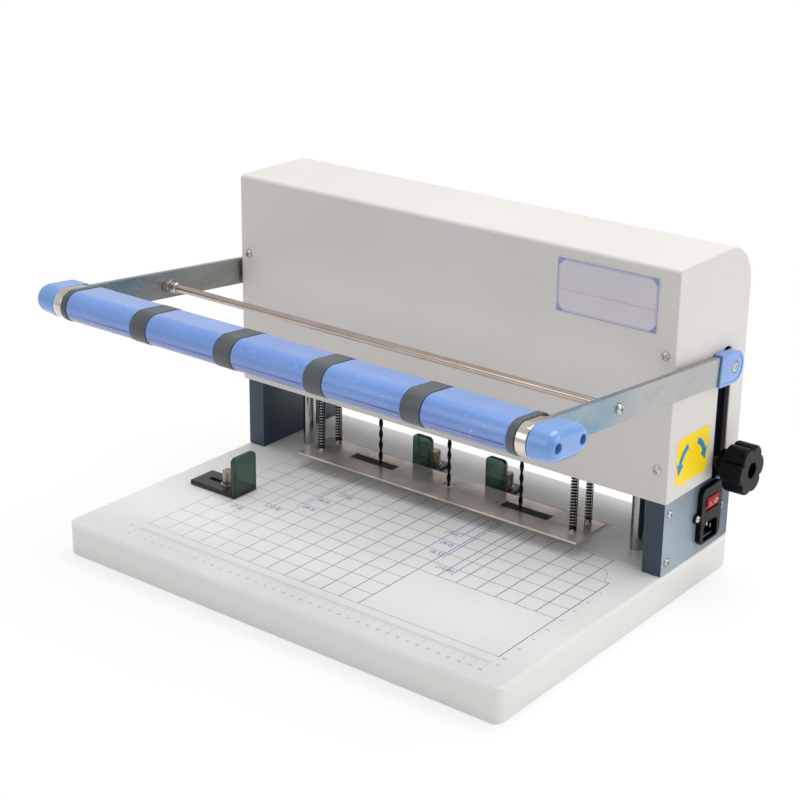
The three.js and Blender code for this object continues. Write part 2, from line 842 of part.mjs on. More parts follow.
// Carriage plate with its two yokes and the pitch screw's bearing lugs, z = 0 at its underside
function makeCarriagePlate() {
  const yokes = sides.map(([, side]) => block(
    spanX(side, plateHalfWidth - yokeThickness, plateHalfWidth),
    [yokeCentreY - yokeWidth / 2, yokeCentreY + yokeWidth / 2],
    [0, yokeTopZ - plateBottomZ],
  ));
  const pinSlotHalf = crankPinRadius + runGap;
  const pinSlots = sides.map(([, side]) => prism(
    'x', capsule(
      yokeCentreY - yokeSlotHalfLength + pinSlotHalf, yokeCentreY + yokeSlotHalfLength - pinSlotHalf,
      pinRestZ - plateBottomZ, pinSlotHalf,
    ),
    spanX(side, plateHalfWidth - yokeThickness - overrun, plateHalfWidth + overrun),
  ));
  const screwLevel = screwZ - plateBottomZ;
  const lugs = sides.map(([, side]) => block(
    spanX(side, lugInnerX, lugInnerX + lugThickness),
    [plateRearY - overrun, screwY + lugSize / 2 - pitchScrewRadius / 2],
    [screwLevel - lugSize / 2, screwLevel + lugSize / 2],
  ));
  const through = [-overrun, plateThickness + overrun];
  const columnBores = sides.map(([, side]) => bar(
    'z', bushRadius + seatGap, [side * columnX, columnY], through,
  ));
  const rodBores = sides.flatMap(([, side]) => [rodFrontY, rodRearY].map((y) => bar(
    'z', rodRadius + runGap, [side * rodX, y], through, smallSteps,
  )));
  const slots = sides.map(([, side]) => prism(
    'z', capsule(
      side * holePitch - (side > 0 ? pitchInward : pitchOutward),
      side * holePitch + (side > 0 ? pitchOutward : pitchInward),
      bitLineY, spindleSlotHalfWidth,
    ), through,
  ));
  const centreHole = bar('z', spindleSlotHalfWidth, [0, bitLineY], through);
  const screwBore = bar(
    'x', pitchScrewRadius + runGap, [screwY, screwLevel], [-plateHalfWidth, plateHalfWidth],
  );
  return cut(
    join(
      block([-plateHalfWidth, plateHalfWidth], [plateFrontY, plateRearY], [0, plateThickness]),
      ...yokes, ...lugs,
    ),
    ...pinSlots, ...columnBores, ...rodBores, ...slots, centreHole, screwBore,
  );
}

// Flanged bush, z = 0 at the carriage plate's top
function makeBush() {
  const bottom = -plateThickness - bushBelow;
  return turned([
    [columnRadius + runGap, bottom],
    [bushRadius, bottom],
    [bushRadius, seatGap],
    [bushFlangeRadius, seatGap],
    [bushFlangeRadius, seatGap + bushFlangeThickness],
    [bushRadius, seatGap + bushFlangeThickness],
    [bushRadius, bottom + bushHeight],
    [columnRadius + runGap, bottom + bushHeight],
    [columnRadius + runGap, bottom],
  ]);
}

// Bracket on the plate's top, drawn about the spindle axis, with the nut lug behind the plate
function makeBracket() {
  const halfWidth = unitWidth / 2;
  const frontY = plateFrontY - bitLineY;
  const lugRearY = screwY - bitLineY + nutLugDepth / 2;
  const lugFrontY = lugRearY - nutLugDepth;
  const screwLevel = screwZ - plateTopZ;
  const footTop = seatGap + bracketFootThickness;
  const foot = block([-halfWidth, halfWidth], [frontY, lugRearY], [seatGap, footTop]);
  const lug = block(
    [-nutLugWidth / 2, nutLugWidth / 2], [lugFrontY, lugRearY], [-nutLugDrop, footTop],
  );
  const top = block(
    [-halfWidth, halfWidth], [frontY, motorRadius],
    [bracketTopHeight - bracketTopThickness, bracketTopHeight],
  );
  const housing = bar('z', spindleHousingRadius, [0, 0], [seatGap, bracketTopHeight]);
  return cut(
    join(foot, lug, top, housing),
    bar('z', spindleRadius + runGap, [0, 0], [-overrun, bracketTopHeight + overrun]),
    bar(
      'x', pitchScrewRadius + runGap, [screwY - bitLineY, screwLevel],
      [-halfWidth - overrun, halfWidth + overrun],
    ),
  );
}

function makeMotor() {
  const bottom = bracketTopHeight + seatGap;
  const top = bottom + motorLength;
  return turned([
    [0, bottom],
    [motorRadius, bottom],
    [motorRadius, top],
    [motorBossRadius, top],
    [motorBossRadius, top + motorBossLength],
    [0, top + motorBossLength],
  ]);
}

// Spindle with its collet chuck, z = 0 at the carriage plate's top
const chuckBottom = tableTop + chuckBottomHeight - plateTopZ;

function makeSpindle() {
  const bore = bitRadius + seatGap;
  return turned([
    [0, chuckBottom + chuckBoreDepth],
    [bore, chuckBottom + chuckBoreDepth],
    [bore, chuckBottom],
    [chuckNoseRadius, chuckBottom],
    [chuckRadius, chuckBottom + chuckNoseLength],
    [chuckRadius, -chuckTopDrop],
    [spindleRadius, -chuckTopDrop],
    [spindleRadius, bracketTopHeight - runGap],
    [0, bracketTopHeight - runGap],
  ]);
}

// Two-flute twist drill, z = 0 at the carriage plate's top
function makeBit() {
  const bottom = tableTop + bitTipHeight - plateTopZ;
  const top = chuckBottom + chuckBoreDepth - seatGap;
  const ring = (height, twist, share, web) => Array.from({ length: bitSides }, (_, side) => {
    const angle = (side / bitSides) * fullTurn;
    const flute = Math.abs(Math.cos(angle)) * (1 - web);
    const radius = bitRadius * share * (1 - flute);
    return new THREE.Vector3(
      radius * Math.cos(angle + twist), radius * Math.sin(angle + twist), height,
    );
  });
  const rings = [ring(bottom, 0, bitTipShare, bitWebShare)];
  for (let step = 0; step <= bitFluteSteps; step += 1) {
    const along = (bitFluteLength * step) / bitFluteSteps;
    rings.push(ring(bottom + bitTipLength + along, (along / bitFluteLead) * fullTurn, 1, bitWebShare));
  }
  const last = (bitFluteLength / bitFluteLead) * fullTurn;
  rings.push(ring(bottom + bitTipLength + bitFluteLength + bitRadius, last, 1, 1));
  rings.push(ring(top, last, 1, 1));
  return skin(rings);
}

// Pitch screw along X and its star knob
function makePitchScrew() {
  const leftEnd = -(lugInnerX + lugThickness + seatGap + pitchCollarThickness);
  const rightEnd = knobHubInnerX + knobBoreDepth - seatGap;
  const collars = sides.map(([, side]) => bar(
    'x', pitchCollarRadius, [0, 0],
    spanX(side, lugInnerX + lugThickness + seatGap, -leftEnd), smallSteps,
  ));
  return join(bar('x', pitchScrewRadius, [0, 0], [leftEnd, rightEnd], smallSteps), ...collars);
}

function makeKnob() {
  const count = knobLobes * knobLobeSteps;
  const points = Array.from({ length: count }, (_, i) => {
    const angle = (i / count) * fullTurn;
    const radius = knobBodyRadius + knobLobeHeight * Math.cos(knobLobes * angle);
    return new THREE.Vector2(radius * Math.cos(angle), radius * Math.sin(angle));
  });
  const bodyInnerX = knobHubInnerX + knobHubLength;
  const bodyOuterX = bodyInnerX + knobBodyLength;
  return cut(
    join(
      prism('x', new THREE.Shape(points), [bodyInnerX, bodyOuterX]),
      bar('x', knobHubRadius, [0, 0], [knobHubInnerX, bodyInnerX + seatGap]),
    ),
    bar('x', knobRecessRadius, [0, 0], [bodyOuterX - knobRecessDepth, bodyOuterX + overrun]),
    bar(
      'x', pitchScrewRadius + seatGap, [0, 0],
      [knobHubInnerX - overrun, knobHubInnerX + knobBoreDepth], smallSteps,
    ),
  );
}

// Pressure plate, z = 0 at its top face
function makeClampPlate() {
  const through = [-clampThickness - overrun, overrun];
  const halfSlot = clampSlotWidth / 2;
  const slots = sides.map(([, side]) => block(
    spanX(side, clampSlotInnerX, clampSlotOuterX), [bitLineY - halfSlot, bitLineY + halfSlot], through,
  ));
  return cut(
    block([-clampHalfWidth, clampHalfWidth], [clampFrontY, clampRearY], [-clampThickness, 0]),
    ...slots, bar('z', clampHoleRadius, [0, bitLineY], through),
  );
}

// Guide rod standing on the pressure plate, its collar resting on the carriage plate
function makeGuideRod() {
  const collarBottom = plateTopZ - clampTopZ + seatGap;
  const collarTop = collarBottom + rodCollarThickness;
  return turned([
    [0, seatGap],
    [rodFootRadius, seatGap],
    [rodFootRadius, seatGap + rodFootThickness],
    [rodRadius, seatGap + rodFootThickness],
    [rodRadius, collarBottom],
    [rodCollarRadius, collarBottom],
    [rodCollarRadius, collarTop],
    [rodRadius, collarTop],
    [rodRadius, collarTop + rodAboveCollar],
    [0, collarTop + rodAboveCollar],
  ], smallSteps);
}

// Gauge: an upright face at x = 0 and a slotted foot behind it
function makeGauge(gauge) {
  const halfWidth = gauge.width / 2;
  const face = prism(
    'x', roundedOutline(
      [-halfWidth, halfWidth], [0, gaugeHeight], [0, 0, gaugeCornerRadius, gaugeCornerRadius],
    ), [-gaugeThickness, 0],
  );
  const foot = block([-gauge.foot, 0], [-halfWidth, halfWidth], [0, gaugeThickness]);
  const slotRadius = gaugeSlotWidth / 2;
  const slot = prism(
    'z', capsule(
      -gauge.slotFront - gauge.slotLength + slotRadius, -gauge.slotFront - slotRadius, 0, slotRadius,
    ), [-overrun, gaugeThickness + overrun],
  );
  return cut(join(face, foot), slot);
}

// Thumbscrew, z = 0 at the table top
function makeThumbscrew() {
  const headBottom = runGap + gaugeThickness + thumbWasherSpace;
  const headTop = headBottom + thumbHeadHeight;
  const body = turned([
    [0, -thumbShankDepth],
    [thumbShankRadius, -thumbShankDepth],
    [thumbShankRadius, headBottom],
    [thumbHeadRadius, headBottom],
    [thumbHeadRadius, headTop],
    [0, headTop],
  ], roundSteps);
  return cut(body, block(
    [-thumbHeadRadius - overrun, thumbHeadRadius + overrun],
    [-thumbSlotWidth / 2, thumbSlotWidth / 2],
    [headTop - thumbSlotDepth, headTop + overrun],
  ));
}

// Frame
addPiece(machine, 'base_board', materials.board, makeBoard());
addPiece(machine, 'cutting_strip', materials.strip, makeStrip(), [0, bitLineY, tableTop]);
for (const [label, side] of sides) {
  addPiece(machine, `${label}_pillar`, materials.slate, makePillar(side));
  addPiece(
    machine, `${label}_guide_column`, materials.chrome, makeColumn(),
    [side * columnX, columnY, tableTop],
  );
}
addPiece(machine, 'top_beam', materials.steel, makeBeam(), [0, 0, beamZ]);
addPiece(machine, 'housing_cover', materials.cover, makeCover());
const inletZ = tableTop + inletHeight;
addPiece(machine, 'power_inlet', materials.blackPlastic, makeInlet(), [0, inletY, inletZ]);
const rocker = addPiece(
  machine, 'rocker_switch', materials.red, makeRocker(), [rockerAxisX, inletY, inletZ + rockerRaise],
);
rocker.rotation.y = rockerTilt;

// Return springs: from the yokes' tops up to the beam
const returnLength = beamZ - yokeTopZ - 2 * runGap;
for (const [label, side] of sides) {
  const name = `${label}_return_spring`;
  const spring = helicalSpring(
    name, returnLength, returnSpringCoils, returnSpringMeanRadius, returnSpringWire, quarterTurn,
  );
  addPiece(machine, name, materials.spring, spring, [side * yokeX, yokeCentreY, yokeTopZ + runGap]);
}

// Lever: everything that swings about the pivot
const lever = addGroup(machine, [0, pivotY, pivotZ]);
const armFrame = addGroup(lever, [0, 0, 0]);
armFrame.rotation.x = -leverTilt;
const handleFrame = addGroup(armFrame, [0, -armLength, 0]);
for (const [label, side] of sides) {
  addPiece(armFrame, `${label}_lever_arm`, materials.zinc, makeArm(side));
  addPiece(armFrame, `${label}_arm_cap`, materials.blue, makeArmCap(side));
  const crank = addPiece(lever, `${label}_crank`, materials.steel, makeCrank(side));
  crank.rotation.x = -crankRest;
}
addPiece(armFrame, 'cross_rod', materials.chrome, makeCrossRod(), [0, -rodReach, 0]);
addPiece(handleFrame, 'handle_grip', materials.blue, makeGrip());
[-bandOuterX, -bandInnerX, bandInnerX, bandOuterX].forEach((x, i) => {
  addPiece(handleFrame, `grip_band_${i + 1}`, materials.grey, makeBand(), [x, 0, 0]);
});
for (const [label, side] of sides) {
  addPiece(handleFrame, `${label}_end_band`, materials.grey, makeEndBand(side));
  addPiece(handleFrame, `${label}_end_cap`, materials.blue, makeEndCap(side));
}

// Carriage: plate, bushes and the three drill units
const carriage = addGroup(machine, [0, 0, plateBottomZ]);
addPiece(carriage, 'carriage_plate', materials.aluminium, makeCarriagePlate());
for (const [label, side] of sides) {
  addPiece(
    carriage, `${label}_guide_bush`, materials.brass, makeBush(),
    [side * columnX, columnY, plateThickness],
  );
}
for (const [label, place] of [['left', -1], ['centre', 0], ['right', 1]]) {
  const unit = addGroup(carriage, [place * holePitch, bitLineY, plateThickness]);
  addPiece(unit, `${label}_bracket`, materials.aluminium, makeBracket());
  addPiece(unit, `${label}_motor`, materials.motor, makeMotor());
  addPiece(unit, `${label}_spindle`, materials.steel, makeSpindle());
  addPiece(unit, `${label}_drill_bit`, materials.blackSteel, makeBit());
}
const pitch = addGroup(carriage, [0, screwY, screwZ - plateBottomZ]);
addPiece(pitch, 'pitch_screw', materials.steel, makePitchScrew());
addPiece(pitch, 'pitch_knob', materials.blackPlastic, makeKnob());

// Pressure plate with four sprung rods
const clamp = addGroup(machine, [0, 0, clampTopZ]);
addPiece(clamp, 'pressure_plate', materials.mirror, makeClampPlate());
const springFoot = seatGap + rodFootThickness + runGap;
const clampSpringLength = plateBottomZ - clampTopZ - springFoot - runGap;
for (const [label, side] of sides) {
  for (const [row, y] of [['front', rodFrontY], ['rear', rodRearY]]) {
    const name = `${label}_${row}`;
    addPiece(clamp, `${name}_guide_rod`, materials.chrome, makeGuideRod(), [side * rodX, y, 0]);
    const spring = helicalSpring(
      `${name}_spring`, clampSpringLength, clampSpringCoils, clampSpringMeanRadius,
      clampSpringWire, 0,
    );
    addPiece(clamp, `${name}_spring`, materials.spring, spring, [side * rodX, y, springFoot]);
  }
}

// Gauges and thumbscrews on the table
for (const gauge of gauges) {
  const body = addPiece(
    machine, gauge.name, materials.smoke, makeGauge(gauge), [gauge.x, gauge.y, tableTop + seatGap],
  );
  body.rotation.z = gauge.turn;
  const [x, y] = screwPlace(gauge);
  addPiece(machine, gauge.screw, materials.brass, makeThumbscrew(), [x, y, tableTop]);
}

export default machine;
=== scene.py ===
"""Looks of a three-spindle paper drilling and binding machine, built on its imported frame.

Sizes are millimetres in the part frame: +X is the operator's right, -Y is towards the operator,
+Z is up, and the origin is the centre of the base board's underside.
"""

from __future__ import annotations

import logging
import math
from collections.abc import Callable, Iterable
from dataclasses import dataclass
from enum import Enum

import bmesh
import bpy
from mathutils import Matrix, Vector


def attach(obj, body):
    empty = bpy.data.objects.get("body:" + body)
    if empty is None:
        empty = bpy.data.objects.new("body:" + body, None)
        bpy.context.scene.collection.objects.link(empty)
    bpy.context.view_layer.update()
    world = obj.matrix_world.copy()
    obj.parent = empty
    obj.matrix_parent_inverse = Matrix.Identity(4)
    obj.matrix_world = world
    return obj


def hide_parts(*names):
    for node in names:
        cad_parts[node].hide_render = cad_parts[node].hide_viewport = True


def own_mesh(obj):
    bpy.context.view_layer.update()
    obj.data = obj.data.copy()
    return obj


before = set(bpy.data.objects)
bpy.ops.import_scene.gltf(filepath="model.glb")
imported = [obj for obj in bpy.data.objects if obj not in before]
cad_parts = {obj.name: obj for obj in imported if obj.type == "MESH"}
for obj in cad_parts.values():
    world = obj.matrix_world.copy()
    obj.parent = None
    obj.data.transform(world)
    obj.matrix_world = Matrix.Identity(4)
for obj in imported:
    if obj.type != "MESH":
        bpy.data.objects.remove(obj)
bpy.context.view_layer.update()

log = logging.getLogger("paper_drill")

MM = 0.001

Colour = tuple[float, float, float, float]
Span = tuple[float, float]
Point = tuple[float, float, float]
Where = Callable[[Vector], bool]
Sockets = dict[str | int, object]

WHITE: Colour = (1.0, 1.0, 1.0, 1.0)

# The numbers of the Mix node's sockets for colours: both inputs, and the output
MIX_LOW, MIX_HIGH, MIXED = 6, 7, 2

# How far apart points may be that are made one: on a piece, after a cut, in a copied CAD node
WELD, CUT_WELD, COPY_WELD = 0.0005, 0.0002, 0.003
# The angles, in degrees, under which faces are joined after a cut and in a copied CAD node
CUT_FLAT, COPY_FLAT = 0.3, 0.6
# The angle, in degrees, over which an edge shows as a sharp one
SHARP_OVER = 38.0
# How straight along an axis an edge runs at least, to be rounded as one of its edges
ALONG = 0.999
# How far off a plane, in millimetres, a rim's edge may lie, and the angle it has, in radians
RIM_OFF, RIM_ANGLE = 0.01, 0.5


# Shader kit


def srgb(red: int, green: int, blue: int) -> Colour:
    """Turn a screen colour into the renderer's linear colour.

    Args:
        red: red, 0 to 255.
        green: green, 0 to 255.
        blue: blue, 0 to 255.

    Returns:
        The linear colour with an alpha of 1.
    """

    def linear(level: int) -> float:
        """Undo the screen's curve for one channel."""
        share = level / 255
        return share / 12.92 if share <= 0.04045 else ((share + 0.055) / 1.055) ** 2.4

    return (linear(red), linear(green), linear(blue), 1.0)


class Wire:
    """A shader value that takes Python arithmetic and adds its own Math nodes."""

    def __init__(self, tree: Tree, socket: bpy.types.NodeSocket) -> None:
        """Hold a socket and the tree it is in."""
        self.tree = tree
        self.socket = socket

    def __add__(self, other: Wire | float) -> Wire:
        """Add."""
        return self.tree.math("ADD", self, other)

    __radd__ = __add__

    def __sub__(self, other: Wire | float) -> Wire:
        """Take other away."""
        return self.tree.math("SUBTRACT", self, other)

    def __rsub__(self, other: Wire | float) -> Wire:
        """Take this away from other."""
        return self.tree.math("SUBTRACT", other, self)

    def __mul__(self, other: Wire | float) -> Wire:
        """Multiply."""
        return self.tree.math("MULTIPLY", self, other)

    __rmul__ = __mul__

    def __truediv__(self, other: Wire | float) -> Wire:
        """Divide by other."""
        return self.tree.math("DIVIDE", self, other)

    def __gt__(self, other: Wire | float) -> Wire:
        """One where this is greater, else nought."""
        return self.tree.math("GREATER_THAN", self, other)

    def __lt__(self, other: Wire | float) -> Wire:
        """One where this is less, else nought."""
        return self.tree.math("LESS_THAN", self, other)

    def __abs__(self) -> Wire:
        """Drop the sign."""
        return self.tree.math("ABSOLUTE", self)

    def squared(self) -> Wire:
        """Multiply the value by itself."""
        return self.tree.math("POWER", self, 2.0)

    def part(self) -> Wire:
        """Keep the part after the decimal point."""
        return self.tree.math("FRACT", self)

    def kept(self) -> Wire:
        """Hold the value between nought and one."""
        return self.tree.math("ADD", self, 0.0, clamp=True)

    def spread(self, contrast: float) -> Wire:
        """Stretch a noise about its middle, and hold it between nought and one."""
        return (self * contrast - (contrast - 1) / 2).kept()

    def greatest(self, other: Wire) -> Wire:
        """Take the greater of two masks."""
        return self.tree.math("MAXIMUM", self, other)

    def least(self, other: Wire) -> Wire:
        """Take the smaller of two values."""
        return self.tree.math("MINIMUM", self, other)

    def within(self, low: float, high: float) -> Wire:
        """One where the value lies between low and high, else nought."""
        return (self > low) * (self < high)

    def near(self, centre: float, reach: Wire | float) -> Wire:
        """One where the value is closer to centre than reach, else nought."""
        return abs(self - centre) < reach

    def to_line(self, first: float, pitch: float) -> Wire:
        """Distance to the nearest of evenly spaced lines, one of them at first."""
        return abs(((self - first) / pitch + 0.5).part() - 0.5) * pitch


class Tree:
    """A node tree, the world's or a material's."""

    def __init__(self, owner: bpy.types.Material | bpy.types.World) -> None:
        """Empty the owner's tree.

        Args:
            owner: the material or the world.
        """
        owner.use_nodes = True
        self.nodes, self.links = owner.node_tree.nodes, owner.node_tree.links
        self.nodes.clear()

    def node(
        self, kind: str, settings: dict[str, object] | None = None, inputs: Sockets | None = None
    ) -> bpy.types.Node:
        """Add a node.

        Args:
            kind: the node's type.
            settings: its properties, set before the sockets.
            inputs: a value or a Wire for each socket that is named or numbered.

        Returns:
            The new node.
        """
        made = self.nodes.new(kind)
        for name, value in (settings or {}).items():
            setattr(made, name, value)
        for key, value in (inputs or {}).items():
            if isinstance(value, Wire):
                self.links.new(value.socket, made.inputs[key])
            else:
                made.inputs[key].default_value = value
        return made

    def wire(
        self, kind: str, settings: dict[str, object], inputs: Sockets, output: str | int = 0
    ) -> Wire:
        """Add a node, as node does, and take one of its outputs by its name or number."""
        return Wire(self, self.node(kind, settings, inputs).outputs[output])

    def math(
        self, operation: str, first: Wire | float, second: Wire | float = 0.0, clamp: bool = False
    ) -> Wire:
        """Add a Math node, which clamp holds between nought and one, and take its result."""
        settings = {"operation": operation, "use_clamp": clamp}
        return self.wire("ShaderNodeMath", settings, {0: first, 1: second})

    def ray(self, kind: str) -> Wire:
        """One for a ray of this kind, such as Camera or Glossy, else nought."""
        return self.wire("ShaderNodeLightPath", {}, {}, f"Is {kind} Ray")

    def blended(self, share: Wire, low: Wire, high: Wire) -> Wire:
        """Mix two shaders; a share of nought gives low, one gives high."""
        return self.wire("ShaderNodeMixShader", {}, {0: share, 1: low, 2: high})


class Graph(Tree):
    """The node tree of one material, with each point's place on the machine."""

    def __init__(self, name: str) -> None:
        """Start a material with its coordinates in millimetres.

        Args:
            name: the material's name.
        """
        self.material = bpy.data.materials.new(name)
        super().__init__(self.material)
        place = self.wire("ShaderNodeTexCoord", {}, {}, "Object")
        scaled = {0: place, 1: (1 / MM, 1 / MM, 1 / MM)}
        self.spot = self.wire("ShaderNodeVectorMath", {"operation": "MULTIPLY"}, scaled)
        parts = self.node("ShaderNodeSeparateXYZ", {}, {0: self.spot})
        self.x, self.y, self.z = (Wire(self, socket) for socket in parts.outputs)

    def blank(self) -> Wire:
        """A mask that is nought all over, for others to be gathered on."""
        return self.math("ADD", 0.0, 0.0)

    def noise(self, per_mm: float, detail: float, stretch: Point = (1.0, 1.0, 1.0)) -> Wire:
        """Add soft random variation.

        Args:
            per_mm: how many patches there are to a millimetre.
            detail: how many finer layers are added.
            stretch: the pattern's scale along each axis.

        Returns:
            The variation, mostly between 0.3 and 0.7.
        """
        mapped = self.wire("ShaderNodeMapping", {}, {"Vector": self.spot, "Scale": stretch})
        inputs = {"Vector": mapped, "Scale": per_mm, "Detail": detail}
        return self.wire("ShaderNodeTexNoise", {}, inputs, "Fac")

    def mix(self, share: Wire | float, low: Colour | Wire, high: Colour | Wire) -> Wire:
        """Blend two colours; a share of nought gives low, one gives high."""
        inputs = {"Factor": share, MIX_LOW: low, MIX_HIGH: high}
        return self.wire("ShaderNodeMix", {"data_type": "RGBA"}, inputs, MIXED)

    def relief(self, height: Wire, depth: float) -> Wire:
        """Raise the surface by a pattern whose one stands depth millimetres above its nought."""
        return self.wire("ShaderNodeBump", {}, {"Distance": depth * MM, "Height": height})

    def closed(self, shader: Wire) -> bpy.types.Material:
        """Close the tree with its shader and give the finished material."""
        self.node("ShaderNodeOutputMaterial", {}, {0: shader})
        return self.material


# Finishes


class Axis(Enum):
    """The part frame's directions."""

    X = 0
    Y = 1
    Z = 2


class Side(Enum):
    """The machine's sides, with the sign of their X."""

    LEFT = -1
    RIGHT = 1

    def __str__(self) -> str:
        """Say it as in the names of pieces."""
        return self.name.lower()


@dataclass(frozen=True)
class Finish:
    """What every finish has: its name and the name of a slot."""

    name: str
    slot: str

    def sockets(self, graph: Graph) -> Sockets:
        """Work out a value or a Wire for each of the shader's sockets."""
        raise NotImplementedError

    def material(self) -> bpy.types.Material:
        """Make the material."""
        graph = Graph(self.name)
        return graph.closed(graph.wire("ShaderNodeBsdfPrincipled", {}, self.sockets(graph)))


@dataclass(frozen=True)
class MouldedPlastic(Finish):
    """Moulded plastic: a little cloudy, with a fine skin."""

    colour: Colour
    shade: Colour
    roughness: float = 0.35
    grain: float = 2.5
    depth: float = 0.006
    coat: float = 0.0
    sheen: float = 0.5

    def body(self, graph: Graph, cloud: Wire) -> Wire:
        """Give the plastic's colour, clouded all over."""
        return graph.mix(cloud.spread(2.4), self.colour, self.shade)

    def sockets(self, graph: Graph) -> Sockets:
        """Cloud the colour and the gloss, and grain the skin.

        Args:
            graph: the material's graph.

        Returns:
            The shader's sockets.
        """
        cloud = graph.noise(0.03, 3.0)
        return {
            "Base Color": self.body(graph, cloud),
            "Roughness": self.roughness + (cloud - 0.5) * 0.25,
            "Normal": graph.relief(graph.noise(self.grain, 2.0), self.depth),
            "Specular IOR Level": self.sheen,
            "Coat Weight": self.coat,
            "Coat Roughness": 0.08,
        }


@dataclass(frozen=True, kw_only=True)
class RockerPlastic(MouldedPlastic):
    """The rocker's plastic, with a pale bar and a pale ring printed on its face."""

    mark: Colour
    bar_at: Span
    ring_at: Span
    mark_size: float = 2.0
    line_width: float = 0.8

    def body(self, graph: Graph, cloud: Wire) -> Wire:
        """Print the marks on the plastic's own colour.

        Args:
            graph: the material's graph.
            cloud: soft variation over the piece.

        Returns:
            The colour.
        """
        half = self.line_width / 2
        bar = graph.y.near(self.bar_at[0], half) * graph.z.near(self.bar_at[1], self.mark_size)
        reach = (graph.y - self.ring_at[0]).squared() + (graph.z - self.ring_at[1]).squared()
        ring = graph.math("SQRT", reach).near(self.mark_size, half)
        return graph.mix(bar.greatest(ring) * 0.9, super().body(graph, cloud), self.mark)


@dataclass(frozen=True)
class GripPlastic(Finish):
    """The handle's glossy plastic, with painted shade below and in a parting line low on the
    front, and a few pale specks.
    """

    colour: Colour
    shade: Colour
    seam_z: float
    seam_front: float
    seam_ends: tuple[Span, ...]
    # A darker blue that paints shade on the underside, below the height that follows.
    deep: Colour
    deep_below: float
    deep_reach: float = 12.0
    # The parting line's colour, dark as painted shade in its groove.
    seam_ink: Colour = srgb(40, 44, 120)
    speck: Colour = srgb(225, 232, 248)
    groove: float = 0.12

    def sockets(self, graph: Graph) -> Sockets:
        """Paint shade low on the handle, fleck it, and draw the parting line dark as painted shade
        in its groove, wider to the right.

        Args:
            graph: the material's graph.

        Returns:
            The shader's sockets.
        """
        cloud = graph.noise(0.02, 3.0)
        specks = (graph.noise(0.5, 1.0) > 0.735) * (graph.noise(0.05, 0.0) > 0.52)
        seam = graph.blank()
        for start, end in self.seam_ends:
            reach = ((graph.x - start) / (end - start)).kept() * 0.7 + 0.2
            line = graph.z.near(self.seam_z, reach) * graph.x.within(start, end)
            seam = seam.greatest(line)
        seam = seam * (graph.y < self.seam_front)
        # Painted shade: the colour darkens towards the handle's underside.
        below = ((self.deep_below - graph.z) / self.deep_reach).kept() * 0.9
        body = graph.mix(cloud.spread(2.4), self.colour, self.shade)
        body = graph.mix(below, body, self.deep)
        body = graph.mix(specks * 0.6, body, self.speck)
        height = graph.noise(2.0, 2.0) * 0.05 + (1 - seam) * 0.95
        return {
            # The parting line's dark colour is painted shade in its groove.
            "Base Color": graph.mix(seam * 0.95, body, self.seam_ink),
            "Roughness": 0.3 + (cloud - 0.5) * 0.2,
            "Normal": graph.relief(height, self.groove),
            "Coat Weight": 0.9,
            "Coat Roughness": 0.2,
        }


@dataclass(frozen=True)
class PaintedSheet(Finish):
    """Stoved paint on sheet steel, with a slight orange peel, handling marks and a painted sheen
    on its outer faces.
    """

    colour: Colour
    shade: Colour
    roughness: float
    peel: float
    depth: float
    # The outer colour paints a sheen: the light that the outer side faces reflect, given as a
    # paler paint.
    outer: Colour
    outer_x: float
    outer_from: Span = (150.0, 80.0)
    outer_reach: Span = (95.0, 130.0)

    def sockets(self, graph: Graph) -> Sockets:
        """Mark the paint, and paint a sheen on the outer faces, paler to the front and below.

        Args:
            graph: the material's graph.

        Returns:
            The shader's sockets.
        """
        cloud = graph.noise(0.008, 4.0)
        marks = graph.noise(0.09, 5.0, (1.0, 1.0, 0.35))
        forwards = (self.outer_from[0] - graph.y) / self.outer_reach[0]
        down = (self.outer_from[1] - graph.z) / self.outer_reach[1]
        # Painted sheen: the outer side faces are paled, most to the front and below.
        painted_sheen = (abs(graph.x) > self.outer_x) * ((forwards + down).kept() * 0.85 + 0.1)
        paint = graph.mix(cloud.spread(2.0), self.colour, self.shade)
        return {
            "Base Color": graph.mix(painted_sheen, paint, self.outer),
            "Roughness": self.roughness + (marks - 0.5) * 0.22,
            "Normal": graph.relief(graph.noise(self.peel, 1.0), self.depth),
        }


@dataclass(frozen=True)
class HoodPaint(Finish):
    """The hood's pale paint outside, and a rougher, darker colour inside that paints the shade
    within the hood.
    """

    outside: Colour
    shade: Colour
    # The inside colour is painted shade: the hood's inner faces, darkened for the shade within.
    inside: Colour
    half_width: float
    front: float
    rear: float
    top: float
    skin: float = 0.7
    bend_skin: float = 0.8
    rear_radius: float = 40.0
    front_radius: float = 4.0

    def sockets(self, graph: Graph) -> Sockets:
        """Paint what lies in the skin, round both bends, and give the rest the darker inside
        colour as painted shade.

        Args:
            graph: the material's graph.

        Returns:
            The shader's sockets.
        """
        inner = (
            (abs(graph.x) < self.half_width - self.skin)
            * graph.y.within(self.front + self.skin, self.rear - self.skin)
            * (graph.z < self.top - self.skin)
        )
        arc_y, arc_z = self.rear - self.rear_radius, self.top - self.rear_radius
        reach = (graph.y - arc_y).squared() + (graph.z - arc_z).squared()
        in_bend = reach > (self.rear_radius - self.bend_skin) ** 2
        inner = inner * (1 - (graph.y > arc_y) * (graph.z > arc_z) * in_bend)
        edge_y, edge_z = self.front + self.front_radius, self.top - self.front_radius
        inner = inner * (1 - (graph.y < edge_y) * (graph.z > edge_z))
        paint = graph.mix(graph.noise(0.006, 3.0).spread(2.0), self.outside, self.shade)
        return {
            # Painted shade: the faces within the skin take the darker inside colour.
            "Base Color": graph.mix(inner, paint, self.inside),
            "Roughness": 0.42 + (graph.noise(0.05, 4.0) - 0.5) * 0.2 + inner * 0.3,
            "Normal": graph.relief(graph.noise(0.5, 1.0), 0.015),
        }


